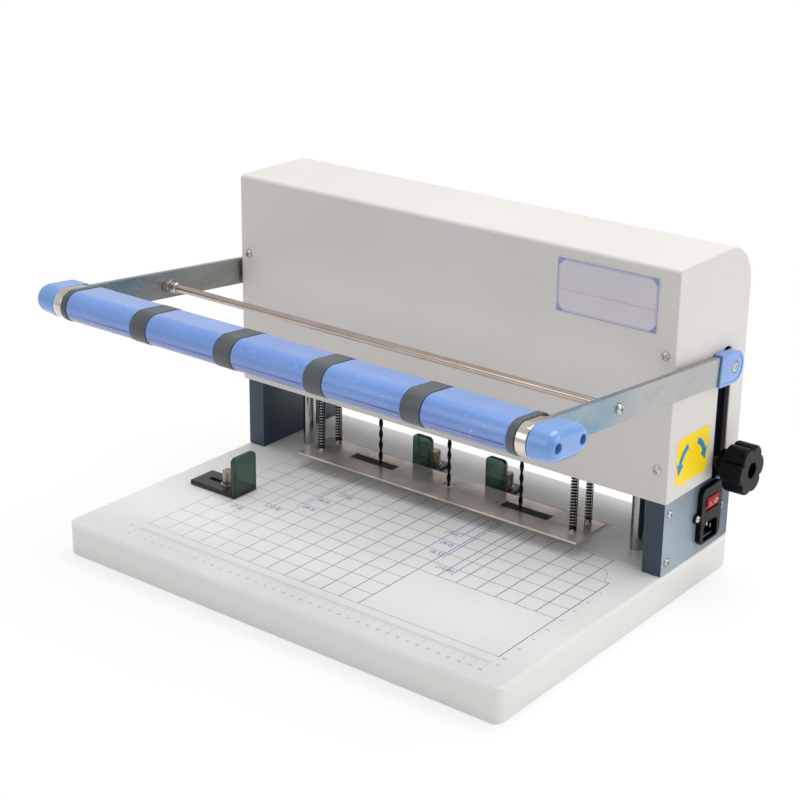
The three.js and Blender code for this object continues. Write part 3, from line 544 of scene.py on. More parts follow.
@dataclass(frozen=True)
class Metal(Finish):
    """Bare or plated metal, brushed along one axis or turned."""

    colour: Colour
    shade: Colour
    roughness: float = 0.25
    along: Axis | None = None
    streak: float = 3.0
    depth: float = 0.004
    patches: float = 0.04
    bareness: float = 1.0
    brushing: float = 0.03
    staining: float = 0.15

    def sockets(self, graph: Graph) -> Sockets:
        """Streak the gloss along the brushing, and stain the metal in soft patches.

        Args:
            graph: the material's graph.

        Returns:
            The shader's sockets.
        """
        stretch = [self.brushing if axis is self.along else 1.0 for axis in Axis]
        streaks = graph.noise(self.streak, 3.0, tuple(stretch))
        patches = graph.noise(self.patches, 4.0)
        return {
            "Base Color": graph.mix(patches.spread(2.6), self.colour, self.shade),
            "Metallic": self.bareness,
            "Roughness": self.roughness
            + (streaks - 0.5) * self.roughness
            + (patches - 0.5) * self.staining,
            "Normal": graph.relief(streaks, self.depth),
        }


@dataclass(frozen=True)
class ZincPlate(Finish):
    """Bright zinc with a blue bloom near the front and straw-coloured handling marks."""

    steel: Colour
    blue: Colour
    straw: Colour
    bloom_y: float
    bloom_reach: float

    def sockets(self, graph: Graph) -> Sockets:
        """Draw the bloom and the marks over brushed zinc.

        Args:
            graph: the material's graph.

        Returns:
            The shader's sockets.
        """
        streaks = graph.noise(1.6, 3.0, (1.0, 0.05, 1.0))
        drift = graph.noise(0.03, 3.0, (1.0, 0.6, 1.0))
        marks = graph.noise(0.05, 4.0, (1.0, 0.35, 1.0))
        near = (1 - abs(graph.y - self.bloom_y) / self.bloom_reach).kept()
        base = graph.mix((near * (drift * 3.0 - 0.6)).kept(), self.steel, self.blue)
        return {
            "Base Color": graph.mix((marks * 3.0 - 1.5).kept() * 0.6, base, self.straw),
            "Metallic": 0.9,
            "Roughness": 0.3 + (streaks - 0.5) * 0.3,
            "Normal": graph.relief(streaks, 0.008),
        }


@dataclass(frozen=True)
class SmokedAcrylic(Finish):
    """Smoke-green acrylic that lets some light through, with painted shade darkening its foot."""

    colour: Colour
    shade: Colour
    # The foot colour is painted shade: the same acrylic, darker where it lies on the board.
    foot: Colour
    foot_top: float
    foot_rise: float = 3.0
    foot_blend: float = 4.0

    def sockets(self, graph: Graph) -> Sockets:
        """Tint the sheet, paint shade on its foot and scuff its gloss in a few places.

        Args:
            graph: the material's graph.

        Returns:
            The shader's sockets.
        """
        sheet = graph.mix(graph.noise(0.1, 2.0), self.colour, self.shade)
        # Painted shade: the colour darkens down into the foot.
        low = ((self.foot_top + self.foot_rise - graph.z) / self.foot_blend).kept()
        return {
            "Base Color": graph.mix(low, sheet, self.foot),
            "Roughness": 0.07 + (graph.noise(0.6, 4.0) > 0.63) * 0.15,
            "IOR": 1.49,
            "Transmission Weight": 0.8,
            "Normal": graph.relief(graph.noise(0.2, 1.0), 0.01),
        }


@dataclass(frozen=True)
class CuttingPlastic(Finish):
    """Milky plastic of the cutting strip, pitted where the drills end."""

    colour: Colour
    shade: Colour
    pit: Colour
    drill_xs: tuple[float, ...]
    drill_y: float
    pit_size: float = 5.0
    raggedness: float = 3.0

    def sockets(self, graph: Graph) -> Sockets:
        """Sink a ragged dark pit under each drill.

        Args:
            graph: the material's graph.

        Returns:
            The shader's sockets.
        """
        pits = graph.blank()
        rough = graph.noise(1.5, 3.0)
        for x in self.drill_xs:
            reach = (graph.x - x).squared() + (graph.y - self.drill_y).squared()
            pits = pits.greatest(reach + (rough - 0.5) * self.raggedness < self.pit_size)
        clean = graph.mix(graph.noise(0.05, 3.0), self.colour, self.shade)
        return {
            "Base Color": graph.mix(pits, clean, self.pit),
            "Roughness": 0.5 + pits * 0.3,
            "Normal": graph.relief(rough * 0.2 + (1 - pits) * 0.8, 0.2),
        }


@dataclass(frozen=True)
class PrintedBoard(Finish):
    """The base board's gloss laminate with its printed centimetre grid and rulers, and painted
    shade behind the cutting strip.
    """

    colour: Colour
    edge: Colour
    grey_ink: Colour
    blue_ink: Colour
    # The near-black colour of the painted shade behind the cutting strip.
    dust_ink: Colour
    top: float = 32.0
    rim: float = 3.9
    pitch: float = 20.0
    left: float = -174.4
    right: float = 205.8
    front: float = -137.0
    rear: float = 63.0
    bare_left: float = 66.5
    bare_rear: float = -57.4
    notch_left: float = 186.4
    notch_front: float = 23.4
    ruler_far: float = -146.0
    rear_ruler: float = 66.0
    ruler_steps: tuple[Point, ...] = ((1.0, 4.2, 0.15), (5.0, 7.0, 0.17), (10.0, 10.5, 0.2))
    pair_lines: tuple[Span, ...] = (
        (-152.2, -67.0), (-122.0, -43.5), (-98.0, -26.5), (-93.4, 0.0),
        (-84.8, 13.5), (55.6, 17.0), (68.7, -26.0), (93.6, -47.5),
    )
    dust_at: Span = (88.0, 103.0)
    dust_reach: Span = (60.0, 21.0)

    def _grid(self, graph: Graph) -> tuple[Wire, Wire]:
        """Draw the columns and the rows.

        Args:
            graph: the material's graph.

        Returns:
            The masks of the columns and of the rows.
        """
        x, y = graph.x, graph.y
        wide = ((x + 110) / 190).kept()
        bare = (x > self.bare_left + 0.6) * (x < self.right - 0.6) * (y < self.bare_rear)
        notch = (x > self.notch_left + 0.4) * (y > self.notch_front)
        across = x.within(self.left - 0.4, self.right + 0.4)
        field = across * y.within(self.front - 0.2, self.rear + 0.2) * (1 - notch)
        columns = (x.to_line(self.left, self.pitch) < 0.34 + wide * 0.1) * field * (1 - bare)
        for line_x, low in self.pair_lines:
            columns = columns.greatest(x.near(line_x, 0.4) * y.within(low, self.rear))
        inner = bare * (y > self.front + 0.6)
        rows = (y.to_line(self.front, self.pitch) < 0.45) * field * (1 - inner)
        return columns, rows

    def _rulers(self, graph: Graph) -> Wire:
        """Draw the ticks of the front and the rear ruler.

        Args:
            graph: the material's graph.

        Returns:
            The ticks' mask.
        """
        x, y = graph.x, graph.y
        ticks = graph.blank()
        for pitch, length, reach in self.ruler_steps:
            front_zone = y.within(self.ruler_far - length, self.ruler_far)
            rear_zone = y.within(self.rear_ruler, self.rear_ruler + length * 0.6)
            lines = x.to_line(self.left, pitch) < reach
            ticks = ticks.greatest(lines * front_zone.greatest(rear_zone))
        return ticks * x.within(self.left - 0.3, self.right + 0.3)

    def _dust(self, graph: Graph, cloud: Wire, worn: Wire) -> Wire:
        """Paint shade on the board as two ragged dark patches behind the cutting strip.

        Args:
            graph: the material's graph.
            cloud: soft variation over the board.
            worn: fine variation over the board.

        Returns:
            The patches' mask.
        """
        reach_x = 1 - abs(abs(graph.x) - self.dust_at[0]) / self.dust_reach[0]
        reach_y = 1 - abs(graph.y - self.dust_at[1]) / self.dust_reach[1]
        ragged = (cloud - 0.5) * 0.8 + (worn - 0.5) * 0.5
        return (reach_x.least(reach_y) * 3.4 + ragged).kept() * 0.94

    def sockets(self, graph: Graph) -> Sockets:
        """Lay the print and the painted shade on the laminate.

        Args:
            graph: the material's graph.

        Returns:
            The shader's sockets.
        """
        on_top = graph.z > self.top - 0.05
        columns, rows = self._grid(graph)
        cloud = graph.noise(0.006, 4.0)
        worn = graph.noise(0.25, 4.0)
        side = (graph.z < self.top - self.rim) * 1.0
        # Painted shade behind the cutting strip, on the top face only.
        shade_patches = self._dust(graph, cloud, worn) * on_top
        ground = graph.mix(cloud.spread(2.2), self.colour, self.edge)
        ground = graph.mix(side, ground, self.edge)
        ground = graph.mix(shade_patches, ground, self.dust_ink)
        blueness = ((graph.x + 150) / 150).kept()
        ink = graph.mix(blueness, self.grey_ink, self.blue_ink)
        strength = (0.66 + blueness * 0.34 + (worn - 0.5) * 0.5).kept()
        printed = graph.mix(rows * on_top * strength * 0.8, ground, self.grey_ink)
        printed = graph.mix(self._rulers(graph) * on_top * 0.55, printed, self.grey_ink)
        gloss = 0.3 + (graph.noise(0.02, 2.0) - 0.5) * 0.04
        return {
            "Base Color": graph.mix(columns * on_top * strength, printed, ink),
            "Roughness": gloss + side * 0.08 + shade_patches * 0.6,
            "Normal": graph.relief(graph.noise(0.35, 1.0), 0.004),
        }


@dataclass(frozen=True)
class BorderedPlate(Finish):
    """A bare name plate: thin lines round it, filled corners and one thin rule across."""

    colour: Colour
    line: Colour
    rule: Colour
    x_span: Span
    z_span: Span
    shade: Colour = srgb(202, 197, 202)
    borders: tuple[Span, ...] = ((1.2, 0.34), (2.6, 0.16))
    corner_size: float = 9.5
    corner_inset: float = 1.3
    rule_below: float = 3.5
    rule_inset: float = 3.2
    rule_reach: float = 0.22

    def sockets(self, graph: Graph) -> Sockets:
        """Draw the lines by their distance from the plate's edges.

        Args:
            graph: the material's graph.

        Returns:
            The shader's sockets.
        """
        (left, right), (low, high) = self.x_span, self.z_span
        from_x = (right - left) / 2 - abs(graph.x - (left + right) / 2)
        from_z = (high - low) / 2 - abs(graph.z - (low + high) / 2)
        inset = from_x.least(from_z)
        drawn = graph.blank()
        for distance, reach in self.borders:
            drawn = drawn.greatest(inset.near(distance, reach))
        corners = (from_x + from_z < self.corner_size) * (inset > self.corner_inset)
        rule = graph.z.near((low + high) / 2 - self.rule_below, self.rule_reach)
        cloud = graph.noise(0.05, 3.0)
        ground = graph.mix(cloud, self.colour, self.shade)
        lined = graph.mix(drawn.greatest(corners * 0.75) * 0.85, ground, self.line)
        return {
            "Base Color": graph.mix(rule * (inset > self.rule_inset) * 0.7, lined, self.rule),
            "Roughness": 0.32 + (cloud - 0.5) * 0.15,
            "Metallic": 0.15,
            "Normal": graph.relief(graph.noise(1.2, 1.0), 0.004),
        }


class Coat(Enum):
    """Every finish on the machine."""

    BOARD = PrintedBoard(
        "printed_board", "board_white",
        srgb(232, 233, 232), srgb(222, 220, 217), srgb(98, 124, 150), srgb(26, 100, 160),
        # The last colour is the near-black of the painted shade behind the strip.
        srgb(14, 13, 12),
    )
    INK = MouldedPlastic(
        "print_ink", "board_white", srgb(128, 138, 156), srgb(112, 124, 146), 0.5
    )
    BLUE_INK = MouldedPlastic(
        "blue_print_ink", "board_white", srgb(60, 104, 172), srgb(46, 92, 164), 0.5
    )
    STRIP = CuttingPlastic(
        "cutting_plastic", "strip_plastic",
        srgb(222, 223, 217), srgb(206, 207, 200), srgb(112, 108, 100), (-80.0, 0.0, 80.0), 74.0,
    )
    # The pale last colour paints a sheen on the pillars' outer faces.
    SLATE = PaintedSheet(
        "slate_paint", "slate_paint", srgb(44, 66, 82), srgb(37, 57, 73), 0.36, 0.6, 0.02,
        srgb(150, 166, 180), 233.6,
    )
    CHROME = Metal(
        "polished_bar", "chrome_bar", srgb(184, 188, 188), srgb(164, 168, 168), 0.1, Axis.Z, 2.0
    )
    CROSS_BAR = Metal(
        "polished_cross_bar", "chrome_bar", srgb(196, 182, 172), srgb(178, 165, 154), 0.13,
        Axis.X, 0.8, 0.001,
    )
    NOSE = Metal(
        "chromed_nose", "zinc_steel", srgb(226, 222, 216), srgb(200, 192, 182), 0.1, None, 1.2
    )
    STEEL = Metal("ground_steel", "steel", srgb(172, 174, 176), srgb(150, 150, 150), 0.3)
    SCREW = Metal("zinc_screw", "steel", srgb(206, 208, 210), srgb(176, 174, 168), 0.24)
    # The hood's darker inside colour paints the shade within the hood.
    HOOD = HoodPaint(
        "hood_paint", "cover_paint", srgb(211, 207, 203), srgb(205, 200, 195),
        srgb(172, 162, 154), 236.5, 55.5, 178.0, 304.0,
    )
    BLACK = MouldedPlastic(
        "black_plastic", "black_plastic", srgb(6, 6, 8), srgb(11, 11, 14), 0.3, 1.8, 0.02, 0.0, 0.1
    )
    RED = RockerPlastic(
        "red_rocker", "rocker_red", srgb(188, 8, 22), srgb(150, 5, 15), 0.2, 1.0, 0.01,
        sheen=0.08, mark=srgb(240, 226, 224), bar_at=(129.0, 78.0), ring_at=(139.0, 78.0),
    )
    ZINC = ZincPlate(
        "zinc_plate", "zinc_steel", srgb(166, 167, 166), srgb(112, 146, 166), srgb(144, 138, 134),
        -95.0, 85.0,
    )
    BLUE = MouldedPlastic(
        "blue_plastic", "blue_plastic", srgb(108, 154, 216), srgb(98, 142, 206), 0.3, 2.0, 0.008,
        0.7,
    )
    # The dark blue and the height after the seam ends paint shade under the handle.
    GRIP = GripPlastic(
        "blue_grip", "blue_plastic", srgb(106, 146, 212), srgb(96, 134, 204), 225.5, -166.0,
        ((-226.0, -153.0), (-131.0, -58.0), (-36.0, 37.0), (59.0, 132.0), (154.0, 227.5)),
        srgb(54, 66, 148), 229.0,
    )
    GREY = MouldedPlastic(
        "grey_band", "grey_plastic", srgb(78, 84, 88), srgb(66, 72, 76), 0.42, 1.6, 0.02
    )
    MILLED = Metal(
        "milled_aluminium", "milled_aluminium", srgb(190, 192, 194), srgb(172, 173, 174), 0.34,
        Axis.X, 2.0,
    )
    MOTOR = Metal("motor_can", "motor_can", srgb(158, 160, 162), srgb(136, 137, 138), 0.36)
    BLACK_STEEL = Metal(
        "black_bit", "black_steel", srgb(34, 34, 36), srgb(20, 20, 22), 0.3, Axis.Z, 2.0
    )
    MIRROR = Metal(
        "mirror_plate", "mirror_steel", srgb(232, 220, 212), srgb(176, 160, 150), 0.2, Axis.X,
        1.2, 0.002, 0.03, 0.62,
    )
    SPRING = Metal(
        "spring_wire", "spring_steel", srgb(84, 70, 56), srgb(38, 30, 24), 0.18, None, 1.0
    )
    # The near-black foot colour of the acrylic is painted shade.
    ACRYLIC = SmokedAcrylic(
        "smoked_acrylic", "smoke_acrylic", srgb(70, 104, 86), srgb(58, 90, 74),
        srgb(14, 18, 17), 36.75,
    )
    BRASS = Metal("brass_part", "brass_part", srgb(198, 190, 174), srgb(168, 156, 136), 0.24)
    PLATE = BorderedPlate(
        "name_plate_blank", "cover_paint", srgb(208, 203, 207), srgb(84, 116, 176),
        srgb(176, 116, 128), (120.0, 218.0), (246.0, 294.0),
    )
    YELLOW = MouldedPlastic(
        "yellow_label", "cover_paint", srgb(250, 217, 12), srgb(244, 206, 8), 0.42, 0.8, 0.004
    )
    LABEL_BLUE = MouldedPlastic(
        "label_blue", "cover_paint", srgb(46, 142, 190), srgb(34, 126, 176), 0.42, 0.8, 0.004
    )

    def material(self) -> bpy.types.Material:
        """Give the material, made on its first use."""
        if self not in READY:
            READY[self] = self.value.material()
        return READY[self]


READY: dict[Coat, bpy.types.Material] = {}


# Bench work

DIRECTIONS = {
    Axis.X: Matrix(((0, 0, 1, 0), (1, 0, 0, 0), (0, 1, 0, 0), (0, 0, 0, 1))),
    Axis.Y: Matrix(((0, 1, 0, 0), (0, 0, 1, 0), (1, 0, 0, 0), (0, 0, 0, 1))),
    Axis.Z: Matrix.Identity(4),
}
# What a cut has to take away at least, in cubic millimetres, and how far past a face it starts
LEAST_CUT, CLEAR = 0.001, 5.0
# How far a screw's head stands off what it holds
STAND_OFF = 0.02


def around(middle: float, half: float) -> Span:
    """Give the span that reaches half to both sides of middle."""
    return (middle - half, middle + half)


def put(name: str, data: bpy.types.ID) -> bpy.types.Object:
    """Put an object in the scene.

    Args:
        name: its name.
        data: its mesh, text, lamp or camera.

    Returns:
        The object.
    """
    held = bpy.data.objects.new(name, data)
    bpy.context.scene.collection.objects.link(held)
    return held


def shape_of(held: bpy.types.Object) -> bpy.types.Mesh:
    """Take the mesh that an object's text or modifiers give.

    Args:
        held: the object.

    Returns:
        A new mesh.
    """
    bpy.context.view_layer.update()
    graph = bpy.context.evaluated_depsgraph_get()
    return bpy.data.meshes.new_from_object(held.evaluated_get(graph))


def is_sharp(edge: bmesh.types.BMEdge, limit: float) -> bool:
    """Whether two faces meet at an edge by more than limit, in radians."""
    return len(edge.link_faces) == 2 and edge.calc_face_angle() > limit


class Stock:
    """A blank being worked into shape: one bmesh, in millimetres, and the cuts made on it."""

    def __init__(self) -> None:
        """Start with nothing on the bench."""
        self.bm = bmesh.new()

    @classmethod
    def block(cls, xs: Span, ys: Span, zs: Span) -> Stock:
        """Saw a rectangular block.

        Args:
            xs: its span along X.
            ys: its span along Y.
            zs: its span along Z.

        Returns:
            The block.
        """
        stock = cls()
        spans = (xs, ys, zs)
        middle = Vector([sum(span) / 2 for span in spans])
        sizes = [span[1] - span[0] for span in spans]
        bmesh.ops.create_cube(
            stock.bm, size=1.0, matrix=Matrix.Translation(middle) @ Matrix.Diagonal((*sizes, 1.0))
        )
        return stock

    @classmethod
    def rod(cls, axis: Axis, radius: float, centre: Span, span: Span, sides: int = 40) -> Stock:
        """Saw a round bar.

        Args:
            axis: the way it lies.
            radius: its radius.
            centre: its centre across the axis: (Y, Z), (Z, X) or (X, Y).
            span: its two ends along the axis.
            sides: how many facets it has.

        Returns:
            The bar.
        """
        stock = cls()
        bmesh.ops.create_cone(
            stock.bm, cap_ends=True, cap_tris=False, segments=sides, radius1=radius,
            radius2=radius, depth=span[1] - span[0],
        )
        return stock.moved((centre[0], centre[1], sum(span) / 2)).laid(axis)

    @classmethod
    def turned(cls, profile: Iterable[Span], steps: int = 40) -> Stock:
        """Turn a profile about Z on the lathe.

        Args:
            profile: points of radius and height, from axis to axis or closed on itself.
            steps: how many facets the turn has.

        Returns:
            The turned piece.
        """
        stock = cls()
        edges = stock.line((radius, 0.0, height) for radius, height in profile)
        stock.spun([*stock.bm.verts, *edges], math.tau, steps, merge=True)
        return stock.cleaned()

    @classmethod
    def copied(cls, node: str) -> Stock:
        """Take a merged copy of a CAD node, with its flat faces made whole.

        Args:
            node: the CAD node's name.

        Returns:
            The copy.
        """
        stock = cls()
        stock.bm.from_mesh(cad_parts[node].data)
        stock.bm.transform(Matrix.Scale(1 / MM, 4))
        return stock.cleaned(COPY_WELD).levelled(COPY_FLAT)

    @classmethod
    def coil(
        cls, mean: float, wire: float, length: float, turns: float, dead: float = 1.2,
        sides: int = 8, steps: int = 18,
    ) -> Stock:
        """Wind a compression spring standing on z = 0, with its end turns closed.

        Args:
            mean: the radius to the middle of the wire.
            wire: the wire's diameter.
            length: the spring's length.
            turns: how many open turns it has.
            dead: how many closed turns each end has.
            sides: the wire's facets.
            steps: the facets of a turn.

        Returns:
            The spring.
        """
        stock = cls()
        bmesh.ops.create_circle(
            stock.bm, cap_ends=False, segments=sides, radius=wire / 2,
            matrix=Matrix.Translation((mean, 0, wire / 2)) @ Matrix.Rotation(math.pi / 2, 4, "X"),
        )
        open_rise = length - wire - 2 * dead * wire
        ring = [*stock.bm.verts, *stock.bm.edges]
        for count, rise in ((dead, dead * wire), (turns, open_rise), (dead, dead * wire)):
            ring = stock.spun(ring, math.tau * count, max(1, round(count * steps)), rise)
        return stock.cleaned().capped()

    def line(self, points: Iterable[Point]) -> list[bmesh.types.BMEdge]:
        """Draw a line through points and give its edges."""
        corners = [self.bm.verts.new(point) for point in points]
        return [self.bm.edges.new(pair) for pair in zip(corners, corners[1:])]

    def spun(
        self, geometry: list, angle: float, steps: int, rise: float = 0.0, merge: bool = False
    ) -> list:
        """Sweep edges round Z.

        Args:
            geometry: the points and edges to sweep.
            angle: how far round they go.
            steps: in how many steps they go.
            rise: how far they climb on the way.
            merge: join the end of a full turn to its start.

        Returns:
            The points and edges of the sweep's end.
        """
        made = bmesh.ops.spin(
            self.bm, geom=geometry, cent=(0, 0, 0), axis=(0, 0, 1), dvec=(0, 0, rise / steps),
            angle=angle, steps=steps, use_merge=merge,
        )
        return made["geom_last"]

    def extruded(
        self, by: Point, edges: list[bmesh.types.BMEdge] | None = None, width: float = 1.0
    ) -> Stock:
        """Draw its faces, or some of its edges, out into walls.

        Args:
            by: how far they are drawn.
            edges: the edges to draw out; all the faces, if this is left out.
            width: how wide the drawn side is, as a share of the first.

        Returns:
            The same stock.
        """
        if edges is None:
            made = bmesh.ops.extrude_face_region(self.bm, geom=self.bm.faces[:])
        else:
            made = bmesh.ops.extrude_edge_only(self.bm, edges=edges)
        drawn = [item for item in made["geom"] if isinstance(item, bmesh.types.BMVert)]
        bmesh.ops.scale(self.bm, vec=(width, width, 1), verts=drawn)
        bmesh.ops.translate(self.bm, vec=by, verts=drawn)
        return self

    def cleaned(self, weld: float = WELD) -> Stock:
        """Merge the points that meet."""
        bmesh.ops.remove_doubles(self.bm, verts=self.bm.verts, dist=weld)
        return self

    def levelled(self, angle: float) -> Stock:
        """Join the faces that meet by less than an angle, in degrees."""
        bmesh.ops.dissolve_limit(
            self.bm, angle_limit=math.radians(angle), use_dissolve_boundaries=False,
            verts=self.bm.verts, edges=self.bm.edges,
        )
        return self

    def turned_out(self) -> Stock:
        """Make every face look outwards; moved faces need their directions worked out first.

        Returns:
            The same stock.
        """
        self.bm.normal_update()
        bmesh.ops.recalc_face_normals(self.bm, faces=self.bm.faces)
        return self

    def capped(self) -> Stock:
        """Close every open end.

        Returns:
            The same stock.
        """
        rims = [edge for edge in self.bm.edges if edge.is_boundary]
        bmesh.ops.holes_fill(self.bm, edges=rims, sides=0)
        return self

    def copy(self) -> Stock:
        """Make a second one like it.

        Returns:
            The copy.
        """
        twin = Stock()
        twin.bm = self.bm.copy()
        return twin

    def moved(self, by: Point) -> Stock:
        """Shift it."""
        self.bm.transform(Matrix.Translation(by))
        return self

    def rotated(self, axis: Axis, angle: float) -> Stock:
        """Turn it about an axis, by an angle in radians."""
        self.bm.transform(Matrix.Rotation(angle, 4, axis.name))
        return self

    def laid(self, axis: Axis) -> Stock:
        """Lay a piece that was made along Z along another axis."""
        self.bm.transform(DIRECTIONS[axis])
        return self

    def flipped(self) -> Stock:
        """Turn it into its mirror image across X = 0.

        Returns:
            The same stock.
        """
        self.bm.transform(Matrix.Diagonal((-1, 1, 1, 1)))
        bmesh.ops.reverse_faces(self.bm, faces=self.bm.faces)
        return self

    def on_side(self, side: Side) -> Stock:
        """Keep it on the right, or mirror it to the left."""
        return self if side is Side.RIGHT else self.flipped()

    def drawn_out(self, axis: Axis, by: float) -> Stock:
        """Pull its two halves apart; the faces between them stretch.

        Args:
            axis: the way they go.
            by: how far each goes.

        Returns:
            The same stock.
        """
        for corner in self.bm.verts:
            corner.co[axis.value] += math.copysign(by, corner.co[axis.value])
        return self

    def with_pieces(self, *others: Stock) -> Stock:
        """Set other pieces beside it in the same mesh.

        Args:
            others: the pieces, which stay as they are.

        Returns:
            The same stock.
        """
        for other in others:
            spare = bpy.data.meshes.new("spare")
            other.bm.to_mesh(spare)
            self.bm.from_mesh(spare)
            bpy.data.meshes.remove(spare)
        return self

    def _bevelled(
        self, wanted: Callable[[bmesh.types.BMEdge], bool], where: Where | None, radius: float,
        segments: int,
    ) -> Stock:
        """Round edges.

        Args:
            wanted: picks the edges.
            where: picks again, by their middle point; all of them if it is left out.
            radius: the rounding's radius.
            segments: how many facets it has; one makes a chamfer.

        Returns:
            The same stock.
        """
        chosen = [
            edge
            for edge in self.bm.edges
            if wanted(edge) and (where is None or where((edge.verts[0].co + edge.verts[1].co) / 2))
        ]
        bmesh.ops.bevel(
            self.bm, geom=chosen, offset=radius, offset_type="OFFSET", segments=segments,
            profile=0.5, affect="EDGES", clamp_overlap=False, material=-1,
        )
        return self

    def rounded(
        self, axis: Axis, radius: float, segments: int = 8, where: Where | None = None
    ) -> Stock:
        """Round the edges that run along an axis.

        Args:
            axis: the way the edges run.
            radius: the rounding's radius.
            segments: how many facets it has.
            where: picks the edges by their middle point; all of them if it is left out.

        Returns:
            The same stock.
        """

        def along(edge: bmesh.types.BMEdge) -> bool:
            """Whether an edge runs along the axis."""
            run = (edge.verts[1].co - edge.verts[0].co).normalized()
            return abs(run[axis.value]) > ALONG

        return self._bevelled(along, where, radius, segments)

    def rimmed(
        self, axis: Axis, level: float, radius: float, segments: int = 3,
        where: Where | None = None,
    ) -> Stock:
        """Round the sharp edges that lie in one plane.

        Args:
            axis: the plane's axis.
            level: where the plane is on it.
            radius: the rounding's radius.
            segments: how many facets it has.
            where: picks the edges by their middle point.

        Returns:
            The same stock.
        """

        def on_rim(edge: bmesh.types.BMEdge) -> bool:
            """Whether an edge is sharp and lies in the plane."""
            level_with = (abs(corner.co[axis.value] - level) < RIM_OFF for corner in edge.verts)
            return all(level_with) and is_sharp(edge, RIM_ANGLE)

        return self._bevelled(on_rim, where, radius, segments)

    def softened(
        self, radius: float, segments: int = 2, above: float = 40.0, where: Where | None = None
    ) -> Stock:
        """Round every edge that is sharper than above, in degrees, as rounded does."""
        limit = math.radians(above)
        return self._bevelled(lambda edge: is_sharp(edge, limit), where, radius, segments)

    def _bench_object(self) -> bpy.types.Object:
        """Put it on the bench for one boolean cut.

        Returns:
            The object that holds it.
        """
        mesh = bpy.data.meshes.new("bench")
        self.turned_out().bm.to_mesh(mesh)
        return put("bench", mesh)

    def _cut_with(self, tool: Stock) -> None:
        """Take one shape away.

        Args:
            tool: the shape.
        """
        held, cutter = self._bench_object(), tool.copy()._bench_object()
        before = self.bm.calc_volume()
        step = held.modifiers.new("cut", "BOOLEAN")
        step.operation = "DIFFERENCE"
        step.object = cutter
        for solver in ("MANIFOLD", "EXACT"):
            step.solver = solver
            result = shape_of(held)
            self.bm.clear()
            self.bm.from_mesh(result)
            bpy.data.meshes.remove(result)
            if 0 < self.bm.calc_volume() < before - LEAST_CUT:
                break
        else:
            raise RuntimeError("a cut took nothing away")
        for spare in (held, cutter):
            mesh = spare.data
            bpy.data.objects.remove(spare)
            bpy.data.meshes.remove(mesh)
        self.cleaned(CUT_WELD)

    def without(self, *cutters: Stock, whole_faces: bool = True) -> Stock:
        """Cut other shapes out of it.

        Args:
            cutters: the shapes to take away, one after another.
            whole_faces: join the flat faces again that the cut has split.

        Returns:
            The same stock.
        """
        for tool in cutters:
            self._cut_with(tool)
        return self.levelled(CUT_FLAT) if whole_faces else self

    def mesh(self, name: str) -> bpy.types.Mesh:
        """Take it off the bench as a finished mesh.

        Args:
            name: the mesh's name.

        Returns:
            The mesh, in metres.
        """
        self.cleaned().turned_out()
        self.bm.transform(Matrix.Scale(MM, 4))
        made = bpy.data.meshes.new(name)
        self.bm.to_mesh(made)
        self.bm.free()
        made.shade_smooth()
        made.set_sharp_from_angle(angle=math.radians(SHARP_OVER))
        return made


def fit(name: str, stock: Stock, body: str, coat: Coat, *stands_for: str) -> bpy.types.Object:
    """Put a worked piece on the machine.

    Args:
        name: the piece's name.
        stock: its shape.
        body: the frame's body that carries it.
        coat: its finish.
        stands_for: the CAD nodes that it is shown for.

    Returns:
        The piece.
    """
    mesh = stock.mesh(name)
    mesh.materials.append(coat.material())
    piece = put(name, mesh)
    piece.modifiers.new("evened_normals", "WEIGHTED_NORMAL").keep_sharp = True
    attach(piece, body)
    if stands_for:
        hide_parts(*stands_for)
    log.info("%s: %d faces, on %s", name, len(mesh.polygons), body)
    return piece


def barrel(radius: float, span: Span, rounding: Span, steps: int = 6) -> list[Span]:
    """Plot a lathe profile of a plain round bar with rounded rims.

    Args:
        radius: the bar's radius.
        span: its two ends.
        rounding: how far each end's rim is rounded.
        steps: how many facets a rounding has.

    Returns:
        The profile, from axis to axis.
    """
    points = [(0.0, span[0])]
    for end, way, size in ((span[0], 1, rounding[0]), (span[1], -1, rounding[1])):
        turns = [math.pi / 2 * index / steps for index in range(steps + 1)] if size else [0.0]
        arc = [
            (radius - size * (1 - math.sin(turn)), end + way * size * (1 - math.cos(turn)))
            for turn in turns
        ]
        points += arc if way > 0 else arc[::-1]
    points.append((0.0, span[1]))
    return points


def lettering(text: str, height: float, at: Point) -> Stock:
    """Cut plain figures as a thin inlay that lies flat, facing up.

    Args:
        text: what they say.
        height: their size.
        at: where their centre is.

    Returns:
        The figures.
    """
    curve = bpy.data.curves.new("figures", "FONT")
    curve.body = text
    curve.size = height
    curve.extrude = 0.015
    curve.resolution_u = 2
    curve.align_x = "CENTER"
    curve.align_y = "CENTER"
    held = put("figures", curve)
    mesh = shape_of(held)
    stock = Stock()
    stock.bm.from_mesh(mesh)
    bpy.data.objects.remove(held)
    bpy.data.curves.remove(curve)
    bpy.data.meshes.remove(mesh)
    return stock.cleaned().moved(at)


def pan_screw(radius: float, height: float) -> Stock:
    """Make a cross-recessed pan head that stands on z = 0.

    Args:
        radius: the head's radius.
        height: the head's height.

    Returns:
        The screw head.
    """
    crown = ((0, 1), (0.42, 0.98), (0.72, 0.86), (0.92, 0.6), (1, 0.3), (1, 0), (0, 0))
    head = Stock.turned([(radius * across, height * up) for across, up in crown], 28)
    arm, thin = around(0, radius * 0.52), around(0, radius * 0.13)
    depth = (height * 0.45, height * 2)
    return head.without(Stock.block(arm, thin, depth)).without(Stock.block(thin, arm, depth))


# Table


